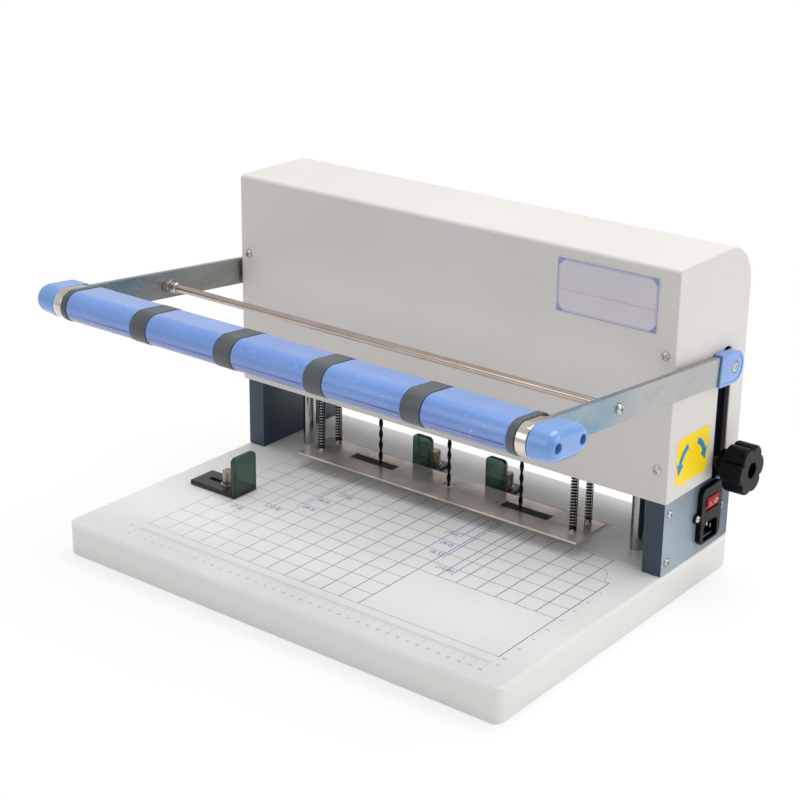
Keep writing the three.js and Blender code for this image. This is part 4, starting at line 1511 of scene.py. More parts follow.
@dataclass
class Table:
    """The base board, its cutting strip and the print that isn't line work."""

    width: float = 470.0
    depth: float = 356.0
    thickness: float = 32.0
    corner: float = 8.0
    edge: float = 2.6
    strip_length: float = 300.0
    strip_width: float = 22.0
    strip_depth: float = 6.0
    strip_y: float = 74.0
    joint: float = 0.25
    figures_y: float = -161.5
    units_y: float = -148.0
    figure_height: float = 3.4
    first_figure_x: float = -174.4
    side_figures_x: float = 210.6
    first_row_y: float = -137.0
    side_height: float = 3.6
    pair_height: float = 7.5
    pair_figures: tuple[tuple[str, float, float], ...] = (
        ("(7.5)", -138.0, -61.5), ("(10.8)", -112.0, -41.5), ("(8.5)", -85.5, -22.0),
        ("(8.0)", -85.5, -2.0), ("(7.0)", -75.5, 18.0), ("(7.0)", 46.0, 18.0),
        ("(8.0)", 55.5, -2.0), ("(8.5)", 59.0, -22.0), ("(10.8)", 83.0, -42.5),
    )
    print_depth: float = 0.03
    corner_line: tuple[Span, ...] = (
        (205.8, 23.2), (202.5, 23.6), (199.8, 26.0), (197.8, 30.5), (196.2, 35.2),
        (193.5, 39.6), (190.4, 42.3), (186.4, 43.0),
    )

    def build(self) -> None:
        """Make the board, the strip and the figures."""
        self._board()
        self._strip()
        self._figures()
        self._notch_line()

    def _slab(self, grow: float, above: float) -> Stock:
        """Saw the strip's block, larger at its sides and below, and so far above the board."""
        return Stock.block(
            around(0, self.strip_length / 2 + grow),
            around(self.strip_y, self.strip_width / 2 + grow),
            (self.thickness - self.strip_depth - grow, self.thickness + above),
        )

    def _board(self) -> None:
        """Make the board with its groove."""
        flat = around(0, self.width / 2), around(0, self.depth / 2)
        board = Stock.block(*flat, (0, self.thickness)).rounded(Axis.Z, self.corner, 10)
        board.rimmed(Axis.Z, self.thickness, self.edge, 6).rimmed(Axis.Z, 0, self.edge, 6)
        board.without(self._slab(self.joint, CLEAR))
        fit("table_board", board, "frame", Coat.BOARD, "base_board")

    def _strip(self) -> None:
        """Make the cutting strip with broken edges."""
        strip = self._slab(0, 0).softened(0.4)
        fit("table_cutting_strip", strip, "frame", Coat.STRIP, "cutting_strip")

    def _figures(self) -> None:
        """Print the ruler's centimetres, the side figures and the hole distances."""
        small, first, side = self.figure_height, self.first_figure_x, self.side_figures_x
        grey = [(str(cm), small, first + 10 * cm, self.figures_y) for cm in range(39)]
        grey += [("cm", small, x, self.units_y) for x in (first - 9, side + 2)]
        grey += [
            (str(20 - 2 * row), self.side_height, side, self.first_row_y + 20 * row)
            for row in range(8)
        ]
        blue = [(figure, self.pair_height, x, y) for figure, x, y in self.pair_figures]
        for name, coat, words in (
            ("ruler_figures", Coat.INK, grey), ("hole_distance_figures", Coat.BLUE_INK, blue)
        ):
            inlay = Stock()
            for word, height, x, y in words:
                place = (x, y, self.thickness + self.print_depth)
                inlay.with_pieces(lettering(word, height, place))
            fit(name, inlay, "frame", coat)

    def _notch_line(self) -> None:
        """Print the wavy line that closes the grid's rear right corner."""
        line = Stock()
        path = line.line((x, y, self.thickness + 0.012) for x, y in self.corner_line)
        line.extruded((0.22, 0.28, 0), path).extruded((0, 0, 0.02))
        fit("grid_corner_line", line, "frame", Coat.INK)


# Uprights


@dataclass
class Uprights:
    """The two steel pillars with their screws, the guide columns and the top beam."""

    pillar_face_x: float = 233.8
    screw_y: float = 67.5
    screw_zs: tuple[float, ...] = (88.0, 43.5)
    screw_radius: float = 3.7
    screw_height: float = 2.2
    column_x: float = 188.0
    column_y: float = 96.5
    column_radius: float = 6.0
    column_span: Span = (20.25, 290.0)

    def build(self) -> None:
        """Make both sides and the beam."""
        screw = pan_screw(self.screw_radius, self.screw_height).laid(Axis.X)
        low, high = self.column_span
        radius = self.column_radius
        profile = (
            (0, high), (radius - 1, high), (radius, high - 1), (radius, low + 1),
            (radius - 1, low), (0, low),
        )
        for side in Side:
            pillar = Stock.copied(f"{side}_pillar").softened(0.5)
            fit(f"{side}_pillar_box", pillar, "frame", Coat.SLATE, f"{side}_pillar")
            heads = Stock()
            for z in self.screw_zs:
                place = (self.pillar_face_x + STAND_OFF, self.screw_y, z)
                heads.with_pieces(screw.copy().moved(place))
            fit(f"{side}_pillar_screws", heads.on_side(side), "frame", Coat.SCREW)
            column = Stock.turned(profile, 48)
            column.moved((side.value * self.column_x, self.column_y, 0))
            fit(f"{side}_column", column, "frame", Coat.CHROME, f"{side}_guide_column")
        beam = Stock.copied("top_beam").softened(0.6)
        fit("top_beam_bar", beam, "frame", Coat.STEEL, "top_beam")


# Hood


@dataclass
class Hood:
    """The folded sheet cover with its screws, its bare name plate and its arrow label."""

    half_width: float = 236.5
    front: float = 55.5
    rear: float = 178.0
    bottom: float = 101.0
    top: float = 304.0
    wall: float = 1.2
    front_radius: float = 4.0
    rear_radius: float = 40.0
    side_radius: float = 1.1
    slot_y: Span = (132.5, 154.5)
    slot_top: float = 217.0
    slot_radius: float = 10.9
    screw_places: tuple[Span, ...] = (
        (-227.0, 229.0), (227.0, 230.0), (226.0, 130.0), (-226.0, 130.0)
    )
    screw_radius: float = 3.9
    screw_height: float = 2.4
    plate_x: Span = (120.0, 218.0)
    plate_z: Span = (246.0, 294.0)
    label_y: Span = (68.0, 122.0)
    label_z: Span = (112.0, 154.0)
    arrow_radius: float = 21.0
    arrow_width: float = 5.3

    def build(self) -> None:
        """Make the cover and what is fixed on it."""
        self._shell()
        self._screws()
        self._name_plate()
        self._label()

    def _blank(self, inset: float, below: float) -> Stock:
        """Bend the cover's outline.

        Args:
            inset: how far inside the outer face it is.
            below: how far it goes on under the bottom edge.

        Returns:
            The solid inside that outline.
        """
        half = self.half_width - inset
        blank = Stock.block(
            (-half, half), (self.front + inset, self.rear - inset),
            (self.bottom - below, self.top - inset),
        )
        blank.rounded(
            Axis.X, self.rear_radius - inset, 20, lambda at: at.z > self.top - 9 and at.y > 150
        )
        return blank.rounded(
            Axis.X, self.front_radius - inset, 5, lambda at: at.z > self.top - 9 and at.y < 60
        )

    def _shell(self) -> None:
        """Make the cover, open below, with a slot in each side."""
        shell = self._blank(0.0, 0.0)
        faces = around(0, self.half_width)
        for x in faces:
            shell.rimmed(Axis.X, x, self.side_radius, 3, lambda at: at.z > self.bottom + 0.1)
        slots = [
            Stock.block(around(x, 8), self.slot_y, (self.bottom - 9, self.slot_top)).rounded(
                Axis.X, self.slot_radius, 10, lambda at: at.z > self.slot_top - 9
            )
            for x in faces
        ]
        shell.without(self._blank(self.wall, 9.0)).without(*slots)
        fit("hood_shell", shell, "frame", Coat.HOOD, "housing_cover")

    def _screws(self) -> None:
        """Set the pan-head screws in the front."""
        heads = Stock()
        screw = pan_screw(self.screw_radius, self.screw_height).rotated(Axis.X, math.pi / 2)
        for index, (x, z) in enumerate(self.screw_places):
            head = screw.copy().rotated(Axis.Y, 0.5 * index)
            heads.with_pieces(head.moved((x, self.front - STAND_OFF, z)))
        fit("hood_screws", heads, "frame", Coat.SCREW)

    def _name_plate(self) -> None:
        """Fix the bare name plate."""
        plate = Stock.block(self.plate_x, (self.front - 0.45, self.front - 0.01), self.plate_z)
        plate.rounded(Axis.Y, 1.5, 4).softened(0.12, 1)
        fit("name_plate", plate, "frame", Coat.PLATE)

    def _arrow(self, start: float, sweep: float) -> Stock:
        """Cut a curved arrow that lies in the plane of Y and Z.

        Args:
            start: the angle of its tail, in degrees.
            sweep: how far it goes round to its head, in degrees.

        Returns:
            The arrow, about its own centre, on X = 0.
        """
        arrow = Stock()
        radius, width, angle = self.arrow_radius, self.arrow_width, math.radians(sweep)
        tail = arrow.line((x, 0, 0) for x in around(radius, width / 2))
        arrow.spun([*arrow.bm.verts, *tail], angle, 10)
        left, right = around(radius, width * 1.1)
        point = (radius - 0.8, math.copysign(width * 1.9, sweep), 0)
        turn = Matrix.Rotation(angle, 4, "Z")
        tip = [turn @ Vector(corner) for corner in ((left, 0, 0), (right, 0, 0), point)]
        arrow.bm.faces.new([arrow.bm.verts.new(corner) for corner in tip])
        return arrow.extruded((0, 0, 0.08)).rotated(Axis.Z, math.radians(start)).laid(Axis.X)

    def _label(self) -> None:
        """Stick on the yellow label with its two turning arrows."""
        face = self.half_width
        label = Stock.block((face + 0.01, face + 0.22), self.label_y, self.label_z)
        label.rounded(Axis.X, 6.0, 6)
        fit("arrow_label", label, "frame", Coat.YELLOW)
        arrows = self._arrow(112, 52).with_pieces(self._arrow(68, -46))
        arrows.moved((face + 0.24, sum(self.label_y) / 2, self.label_z[0] + 13))
        fit("label_arrows", arrows, "frame", Coat.LABEL_BLUE)


# Power inlet


@dataclass
class PowerInlet:
    """The panel inlet with its fixing screws and its red rocker."""

    panel_x: float = 233.8
    face_x: float = 238.6
    centre_y: float = 134.0
    centre_z: float = 67.5
    width: float = 36.0
    height: float = 53.0
    chamfer: float = 4.5
    ear_spacing: float = 40.0
    ear_radius: float = 4.5
    ear_face_x: float = 236.0
    body_width: float = 26.0
    body_height: float = 46.0
    body_inner_x: float = 217.4
    socket_y: Span = (122.0, 146.0)
    socket_z: Span = (43.3, 60.7)
    socket_chamfer: float = 4.0
    socket_floor_x: float = 221.0
    pocket_y: Span = (123.65, 144.35)
    pocket_z: Span = (71.2, 84.8)
    pocket_floor_x: float = 230.2
    pins: tuple[Span, ...] = ((127.0, 52.0), (141.0, 52.0), (134.0, 56.0))
    pin_size: Span = (2.1, 4.1)
    pin_tip_x: float = 235.05
    cutter_x: float = 250.0

    def build(self) -> None:
        """Make the inlet and the rocker."""
        self._body()
        self._pins()
        self._rocker()

    def _body(self) -> None:
        """Mould the black body with its ears, socket and switch pocket."""
        back = self.panel_x + 0.25
        bezel, body = (
            Stock.block(xs, around(self.centre_y, width / 2), around(self.centre_z, height / 2))
            for xs, width, height in (
                ((back, self.face_x), self.width, self.height),
                ((self.body_inner_x, back + 0.6), self.body_width, self.body_height),
            )
        )
        socket = Stock.block((self.socket_floor_x, self.cutter_x), self.socket_y, self.socket_z)
        socket.rounded(Axis.X, self.socket_chamfer, 1, lambda at: at.z > self.centre_z - 12)
        pocket = Stock.block((self.pocket_floor_x, self.cutter_x), self.pocket_y, self.pocket_z)
        bezel.rounded(Axis.X, self.chamfer, 1).rimmed(Axis.X, self.face_x, 0.9, 3)
        bezel.without(socket, pocket).with_pieces(body.without(socket, pocket))
        screws = Stock()
        for way in (-1, 1):
            ear_y = self.centre_y + way * self.ear_spacing / 2
            ear = Stock.rod(
                Axis.X, self.ear_radius, (ear_y, self.centre_z), (back, self.ear_face_x)
            ).rimmed(Axis.X, self.ear_face_x, 0.5, 2)
            bezel.with_pieces(ear)
            head = pan_screw(3.5, 2.0).rotated(Axis.Z, 0.4 * way).laid(Axis.X)
            screws.with_pieces(head.moved((self.ear_face_x + STAND_OFF, ear_y, self.centre_z)))
        fit("inlet_body", bezel, "frame", Coat.BLACK, "power_inlet")
        fit("inlet_screws", screws, "frame", Coat.SCREW)

    def _pins(self) -> None:
        """Set the three flat pins in the socket."""
        pins = Stock()
        length = (self.socket_floor_x - 1, self.pin_tip_x)
        half_y, half_z = self.pin_size[0] / 2, self.pin_size[1] / 2
        for y, z in self.pins:
            pin = Stock.block(length, around(y, half_y), around(z, half_z))
            pins.with_pieces(pin.softened(0.3))
        fit("inlet_pins", pins, "frame", Coat.SCREW)

    def _rocker(self) -> None:
        """Make the rocker."""
        rocker = Stock.copied("rocker_switch").softened(0.35)
        fit("switch_rocker", rocker, "rocker", Coat.RED, "rocker_switch")


# Lever


@dataclass
class Lever:
    """The swinging arms, their caps and cranks, the cross rod and the sleeved handle."""

    pivot_y: float = 143.5
    pivot_z: float = 200.5
    handle_y: float = -147.5
    handle_z: float = 228.0
    arm_x: Span = (239.0, 244.0)
    arm_width: float = 25.0
    arm_front: float = -316.30
    nose_x: Span = (236.0, 245.7)
    nose_y: Span = (-316.90, -272.90)
    nose_width: float = 26.2
    bore_radius: float = 5.35
    bore_cut: Span = (230.0, 250.0)
    round_flat: float = 0.3
    cap_x: Span = (238.0, 246.0)
    cap_radius: float = 14.45
    cap_inner_radius: float = 12.85
    cap_front: float = -25.5
    cap_wall_x: float = 244.35
    cap_hole: float = 5.6
    cap_cut: Span = (236.0, 250.0)
    cap_border: float = 2.9
    cap_field_depth: float = 0.45
    rod_y: float = -186.3
    rod_radius: float = 3.5
    rod_half: float = 238.65
    nut_radius: float = 6.5
    nut_length: float = 6.0
    grip_depth: float = 50.0
    grip_height: float = 27.0
    bands: tuple[float, ...] = (-142.5, -47.5, 47.5, 142.5)
    band_width: float = 18.0
    band_proud: float = 0.4
    segments: tuple[Span, ...] = (
        (-229.0, -151.75), (-133.25, -56.75), (-38.25, 38.25), (56.75, 133.25), (151.75, 229.0)
    )
    core_x: Span = (-228.0, 228.0)
    core_inset: float = 1.6
    end_band_x: Span = (229.25, 235.6)
    end_cap_x: Span = (246.0, 268.5)
    end_rounding: float = 6.5
    end_hole_spacing: float = 32.5
    end_draft: float = 0.08
    end_hole_radius: float = 4.0
    end_hole_depth: float = 9.0

    def __post_init__(self) -> None:
        """Work out the arms' tilt and length."""
        rise, reach = self.handle_z - self.pivot_z, self.pivot_y - self.handle_y
        self.tilt = math.atan2(rise, reach)
        self.length = math.hypot(rise, reach)

    def build(self) -> None:
        """Make the whole lever."""
        for side in Side:
            self._arm(side)
            self._cap(side)
            self._handle_end(side)
            crank = Stock.copied(f"{side}_crank").softened(0.4)
            fit(f"{side}_crank_forging", crank, "lever", Coat.STEEL, f"{side}_crank")
        self._cross_rod()
        self._grip()

    def _fit(
        self, name: str, stock: Stock, coat: Coat, *stands_for: str, side: Side = Side.RIGHT
    ) -> None:
        """Fit a piece that was made in the arms' own frame, for the right-hand side."""
        stock.rotated(Axis.X, -self.tilt).moved((0, self.pivot_y, self.pivot_z))
        fit(name, stock.on_side(side), "lever", coat, *stands_for)

    def _oval(self, span: Span, rounding: Span = (0.0, 0.0), grow: float = 0.0) -> Stock:
        """Make a length of the handle's oval: turned round, then drawn out sideways.

        Args:
            span: its ends along X.
            rounding: how far the rims at those ends are rounded.
            grow: how far it stands outside the grip.

        Returns:
            The oval bar, in the arms' own frame.
        """
        profile = barrel(self.grip_height / 2 + grow, span, rounding)
        draw = (self.grip_depth - self.grip_height) / 2
        bar = Stock.turned(profile, 60).rotated(Axis.Z, math.radians(3)).laid(Axis.X)
        return bar.drawn_out(Axis.Y, draw).moved((0, -self.length, 0))

    def _arm(self, side: Side) -> None:
        """Make an arm, its chromed nose and the screw that holds the cross rod.

        Args:
            side: the side it is on.
        """
        half = self.arm_width / 2
        arm = Stock.block(self.arm_x, (self.arm_front, half), (-half, half))
        arm.rounded(Axis.X, half - self.round_flat, 14)
        arm.without(Stock.rod(Axis.X, self.bore_radius, (0, 0), self.bore_cut))
        arm.softened(0.6, where=lambda at: abs(at.y) > 9 or abs(at.z) > 9)
        self._fit(f"{side}_arm_bar", arm, Coat.ZINC, f"{side}_lever_arm", side=side)
        half = self.nose_width / 2
        nose = Stock.block(self.nose_x, self.nose_y, (-half, half))
        nose.rounded(Axis.X, half - self.round_flat, 14).softened(0.7)
        self._fit(f"{side}_arm_nose", nose, Coat.NOSE, side=side)
        head = pan_screw(4.6, 2.6).laid(Axis.X)
        head.moved((self.arm_x[1] + STAND_OFF, self.rod_y, 0))
        self._fit(f"{side}_arm_screw", head, Coat.SCREW, side=side)

    def _cap(self, side: Side) -> None:
        """Make the blue cap over an arm's rear end, and the screw in it.

        Args:
            side: the side it is on.
        """
        outer, inner = self.cap_radius, self.cap_inner_radius
        cap = Stock.block(self.cap_x, (self.cap_front, outer), (-outer, outer))
        cap.rounded(Axis.X, outer - self.round_flat, 14, lambda at: at.y > 0)
        cap.rounded(Axis.X, 1.6, 3, lambda at: at.y < 0)
        pocket = Stock.block(
            (self.cap_x[0] - 4, self.cap_wall_x), (self.cap_front - 9, inner), (-inner, inner)
        ).rounded(Axis.X, inner - self.round_flat, 12, lambda at: at.y > 0)
        inset = outer - self.cap_border
        field = Stock.block(
            (self.cap_x[1] - self.cap_field_depth, self.cap_x[1] + 4),
            (self.cap_front + self.cap_border, inset), (-inset, inset),
        ).rounded(Axis.X, inset - self.round_flat, 12, lambda at: at.y > 0)
        cap.without(pocket).without(field)
        cap.rimmed(
            Axis.X, self.cap_x[1], 1.1, 3,
            lambda at: max(abs(at.z), -at.y - 11, math.hypot(at.y, at.z)) > inset + 1.2,
        )
        cap.without(Stock.rod(Axis.X, self.cap_hole, (0, 0), self.cap_cut), whole_faces=False)
        self._fit(f"{side}_arm_end_cap", cap, Coat.BLUE, f"{side}_arm_cap", side=side)
        head = pan_screw(4.9, 0.75).rotated(Axis.Z, 0.3).laid(Axis.X)
        head.moved((self.cap_x[1] - 0.77, 0, 0))
        self._fit(f"{side}_pivot_screw", head, Coat.SCREW, side=side)

    def _cross_rod(self) -> None:
        """Make the rod between the arms with its nut."""
        radius, half = self.rod_radius, self.rod_half
        ends = (0, half), (radius - 0.5, half), (radius, half - 0.5), (radius, -half), (0, -half)
        rod = Stock.turned(ends, 28)
        seat = self.nut_length - half
        nut = Stock.rod(Axis.Z, self.nut_radius, (0, 0), (-half, seat), 6).softened(0.5)
        collar = Stock.turned(
            (
                (radius, seat), (5.0, seat), (5.0, seat + 7), (4.2, seat + 8),
                (radius, seat + 8), (radius, seat),
            ),
            28,
        )
        rod.with_pieces(nut, collar).laid(Axis.X).moved((0, self.rod_y, 0))
        self._fit("cross_bar", rod, Coat.CROSS_BAR, "cross_rod")

    def _grip(self) -> None:
        """Make the blue segments and the four grey bands."""
        grip = Stock()
        for span in self.segments:
            grip.with_pieces(self._oval(span, (1.1, 1.1)))
        grip.with_pieces(self._oval(self.core_x, grow=-self.core_inset))
        self._fit("handle_sleeve", grip, Coat.GRIP, "handle_grip")
        for index, x in enumerate(self.bands, 1):
            band = self._oval(around(x, self.band_width / 2), (0.5, 0.5), self.band_proud)
            self._fit(f"grey_band_{index}", band, Coat.GREY, f"grip_band_{index}")

    def _handle_end(self, side: Side) -> None:
        """Make the grey end band and the blue end cap.

        Args:
            side: the side it is on.
        """
        band = self._oval(self.end_band_x, (0.5, 0.8), self.band_proud)
        self._fit(f"{side}_grey_end_band", band, Coat.GREY, f"{side}_end_band", side=side)
        low, face = self.end_cap_x
        floor, radius = face - self.end_hole_depth, self.end_hole_radius
        top = self.grip_height / 2
        cap = self._oval(self.end_cap_x, (1.2, self.end_rounding))
        for corner in cap.bm.verts:
            outwards = (corner.co.x - low) / (face - low)
            corner.co.z = top - (top - corner.co.z) * (1 - self.end_draft * outwards)
        profile = (
            (0, floor), (radius, floor), (radius, face - 0.6), (radius + 0.6, face),
            (radius + 0.6, face + CLEAR), (0, face + CLEAR),
        )
        holes = Stock()
        for y in around(-self.length, self.end_hole_spacing / 2):
            hole = Stock.turned(profile, 32).laid(Axis.X)
            holes.with_pieces(hole.moved((0, y, top * self.end_draft)))
        cap.without(holes, whole_faces=False)
        self._fit(f"{side}_handle_cap", cap, Coat.BLUE, f"{side}_end_cap", side=side)


# Carriage


@dataclass
class DrillUnit:
    """One spindle unit: bracket, motor, spindle with collet chuck, and bit."""

    name: str
    x: float
    body: str
    drill_body: str
    y: float = 74.0
    level: float = 114.0
    motor_radius: float = 17.0
    motor_span: Span = (48.25, 98.25)
    boss_radius: float = 6.0
    boss_length: float = 4.0
    spindle_radius: float = 6.0
    chuck_radius: float = 8.0
    nose_radius: float = 5.0
    chuck_span: Span = (-19.0, -3.0)
    nose_length: float = 4.0
    spindle_top: float = 47.65
    bit_radius: float = 2.0
    bit_tip: float = -69.0
    tip_length: float = 1.4
    tip_width: float = 0.12
    flute_length: float = 44.0
    flute_lead: float = 22.0
    flute_steps: int = 44
    web: float = 0.52
    shank_length: float = 15.7

    def build(self) -> None:
        """Make the unit."""
        bracket = Stock.copied(f"{self.name}_bracket").softened(0.5)
        self._fit("spindle_bracket", bracket, self.body, Coat.MILLED, "bracket")
        self._motor()
        self._spindle()
        self._bit()

    def _fit(self, piece: str, stock: Stock, body: str, coat: Coat, node: str = "") -> None:
        """Fit a piece and name it, and the CAD node that it is shown for, after the unit."""
        fit(f"{self.name}_{piece}", stock, body, coat, *([f"{self.name}_{node}"] if node else []))

    def _placed(self, stock: Stock) -> Stock:
        """Move a piece from the spindle's own axis to its place."""
        return stock.moved((self.x, self.y, self.level))

    def _motor(self) -> None:
        """Make the motor can with its black end bell."""
        low, high = self.motor_span
        radius, boss = self.motor_radius, self.boss_radius
        bell = high - 7
        can = Stock.turned(
            (
                (0, low), (radius - 1.5, low), (radius, low + 1.5), (radius, low + 8),
                (radius - 0.6, low + 8.6), (radius - 0.6, low + 9.6), (radius, low + 10.2),
                (radius, bell - 1), (radius - 0.8, bell), (0, bell),
            ),
            40,
        )
        end = Stock.turned(
            (
                (0, bell), (radius - 1.2, bell), (radius - 1.2, high - 1.5),
                (radius - 2.7, high), (boss + 0.6, high), (boss, high + 0.6),
                (boss, high + self.boss_length - 0.6), (boss - 0.6, high + self.boss_length),
                (0, high + self.boss_length),
            ),
            40,
        )
        self._fit("motor_can", self._placed(can), self.body, Coat.MOTOR, "motor")
        self._fit("motor_bell", self._placed(end), self.body, Coat.BLACK)

    def _spindle(self) -> None:
        """Make the spindle with its chuck, grooved for grip."""
        low, high = self.chuck_span
        radius, nose = self.chuck_radius, self.nose_radius
        shaft, top, cone = self.spindle_radius, self.spindle_top, low + self.nose_length
        profile = [(0, low), (nose - 0.4, low), (nose, low + 0.4), (radius, cone)]
        step = cone + 1.5
        while step + 2.4 < high - 1:
            profile += [
                (radius, step), (radius - 0.5, step + 0.5), (radius - 0.5, step + 1.1),
                (radius, step + 1.6),
            ]
            step += 2.6
        profile += [
            (radius, high - 0.6), (radius - 0.6, high), (shaft, high), (shaft, top - 0.5),
            (shaft - 0.5, top), (0, top),
        ]
        spindle = self._placed(Stock.turned(profile, 36))
        self._fit("spindle_shaft", spindle, self.drill_body, Coat.STEEL, "spindle")

    def _bit(self) -> None:
        """Grind the two-flute bit: its section wound upwards, a point below, a shank above."""
        bit = Stock()
        bmesh.ops.create_circle(bit.bm, cap_ends=False, segments=28, radius=self.bit_radius)
        for corner in bit.bm.verts:
            around_it = abs(math.cos(math.atan2(corner.co.y, corner.co.x)))
            corner.co *= 1 - (1 - self.web) * around_it**1.6
        start = self.bit_tip + self.tip_length
        bit.moved((0, 0, start))
        edges = bit.bm.edges[:]
        turn = math.tau * self.flute_length / self.flute_lead
        bit.spun([*bit.bm.verts, *edges], turn, self.flute_steps, self.flute_length)
        bit.extruded((0, 0, -self.tip_length), edges, self.tip_width).capped()
        flute_end, top = start + self.flute_length, self.chuck_span[0] + self.shank_length
        shank = Stock.turned(
            (
                (0, flute_end - 0.5), (self.bit_radius * self.web, flute_end - 0.5),
                (self.bit_radius, flute_end + 2), (self.bit_radius, top), (0, top),
            ),
            28,
        )
        bit = self._placed(bit.with_pieces(shank))
        self._fit("twist_bit", bit, self.drill_body, Coat.BLACK_STEEL, "drill_bit")


@dataclass
class Carriage:
    """The plate that slides on the columns, its bushes, springs, units and pitch drive."""

    column_x: float = 188.0
    column_y: float = 96.5
    column_radius: float = 6.0
    bush_radius: float = 9.5
    bush_flange: float = 12.0
    bush_span: Span = (102.0, 132.0)
    flange_span: Span = (114.25, 118.25)
    spring_x: float = 204.5
    spring_y: float = 119.38
    spring_span: Span = (217.2, 275.65)
    spring_mean: float = 4.0
    spring_wire: float = 1.2
    spring_turns: float = 5.0
    screw_y: float = 143.5
    screw_z: float = 112.0
    screw_radius: float = 4.0
    screw_span: Span = (-142.25, 261.75)
    thread_half: float = 127.0
    thread_pitch: float = 1.6
    collar_radius: float = 6.5
    collar_span: Span = (139.25, 142.25)
    knob_span: Span = (249.0, 269.0)
    knob_radius: float = 20.6
    lobe_height: float = 1.85
    lobes: int = 6
    hub_x: float = 239.5
    hub_radius: float = 12.5
    recess_radius: float = 7.0
    recess_depth: float = 4.5

    def build(self) -> None:
        """Make the carriage and what it carries."""
        plate = Stock.copied("carriage_plate").softened(0.5)
        fit("carriage_bed", plate, "carriage", Coat.MILLED, "carriage_plate")
        for side in Side:
            self._bush(side)
            self._return_spring(side)
        for unit in (
            DrillUnit("left", -80.0, "left_unit", "left_drill"),
            DrillUnit("centre", 0.0, "carriage", "centre_drill"),
            DrillUnit("right", 80.0, "right_unit", "right_drill"),
        ):
            unit.build()
        self._pitch_screw()
        self._knob()

    def _bush(self, side: Side) -> None:
        """Turn a flanged bush.

        Args:
            side: the side it is on.
        """
        bore, outer, flange = self.column_radius + 0.35, self.bush_radius, self.bush_flange
        low, high = self.bush_span
        flange_low, flange_high = self.flange_span
        bush = Stock.turned(
            (
                (bore, low), (outer - 0.5, low), (outer, low + 0.5), (outer, flange_low),
                (flange, flange_low), (flange, flange_high - 0.6), (flange - 0.6, flange_high),
                (outer, flange_high), (outer, high - 0.6), (outer - 0.6, high), (bore, high),
                (bore, low),
            ),
            44,
        ).moved((side.value * self.column_x, self.column_y, 0))
        fit(f"{side}_bush_sleeve", bush, "carriage", Coat.BRASS, f"{side}_guide_bush")

    def _return_spring(self, side: Side) -> None:
        """Wind the spring between a yoke and the beam.

        Args:
            side: the side it is on.
        """
        low, high = self.spring_span
        spring = Stock.coil(
            self.spring_mean, self.spring_wire, high - low, self.spring_turns, 1.0
        ).moved((side.value * self.spring_x, self.spring_y, low))
        fit(f"{side}_return_coil", spring, "carriage", Coat.SPRING, f"{side}_return_spring")

    def _pitch_screw(self) -> None:
        """Turn the threaded rod with its collars."""
        low, high = self.screw_span
        radius, root = self.screw_radius, self.screw_radius - 0.55
        profile = [(0, low), (radius - 0.5, low), (radius, low + 0.5), (radius, -self.thread_half)]
        place = -self.thread_half
        while place + self.thread_pitch < self.thread_half:
            profile += [(root, place + self.thread_pitch / 2), (radius, place + self.thread_pitch)]
            place += self.thread_pitch
        profile += [(radius, high), (0, high)]
        screw = Stock.turned(profile, 20)
        near, far = self.collar_span
        for ends in ((-far, -near), (near, far)):
            screw.with_pieces(Stock.rod(Axis.Z, self.collar_radius, (0, 0), ends).softened(0.4))
        screw.laid(Axis.X).moved((0, self.screw_y, self.screw_z))
        fit("pitch_lead_screw", screw, "pitch_drive", Coat.STEEL, "pitch_screw")

    def _knob(self) -> None:
        """Mould the star knob."""
        low, high = self.knob_span
        star = Stock()
        bmesh.ops.create_circle(star.bm, cap_ends=True, segments=96, radius=1.0)
        for corner in star.bm.verts:
            angle = math.atan2(corner.co.y, corner.co.x)
            swell = abs(math.cos(self.lobes * angle / 2)) ** 0.6
            corner.co *= self.knob_radius - self.lobe_height + 2 * self.lobe_height * swell
        width = high - low
        star.extruded((0, 0, width))
        star.rimmed(Axis.Z, width, 2.0, 4).rimmed(Axis.Z, 0, 2.0, 4)
        depth = (width - self.recess_depth, width + 9)
        star.without(Stock.rod(Axis.Z, self.recess_radius, (0, 0), depth))
        star.rimmed(
            Axis.Z, width, 0.8, 3, lambda at: math.hypot(at.x, at.y) < self.recess_radius + 1
        )
        end, radius = self.hub_x - low, self.hub_radius
        hub = Stock.turned(
            (
                (0, end), (radius - 0.8, end), (radius, end + 0.8), (radius, -3),
                (radius + 2.5, 1.0), (0, 1.0),
            ),
            48,
        )
        star.with_pieces(hub).laid(Axis.X).moved((low, self.screw_y, self.screw_z))
        fit("star_knob", star, "pitch_drive", Coat.BLACK, "pitch_knob")


# Clamp


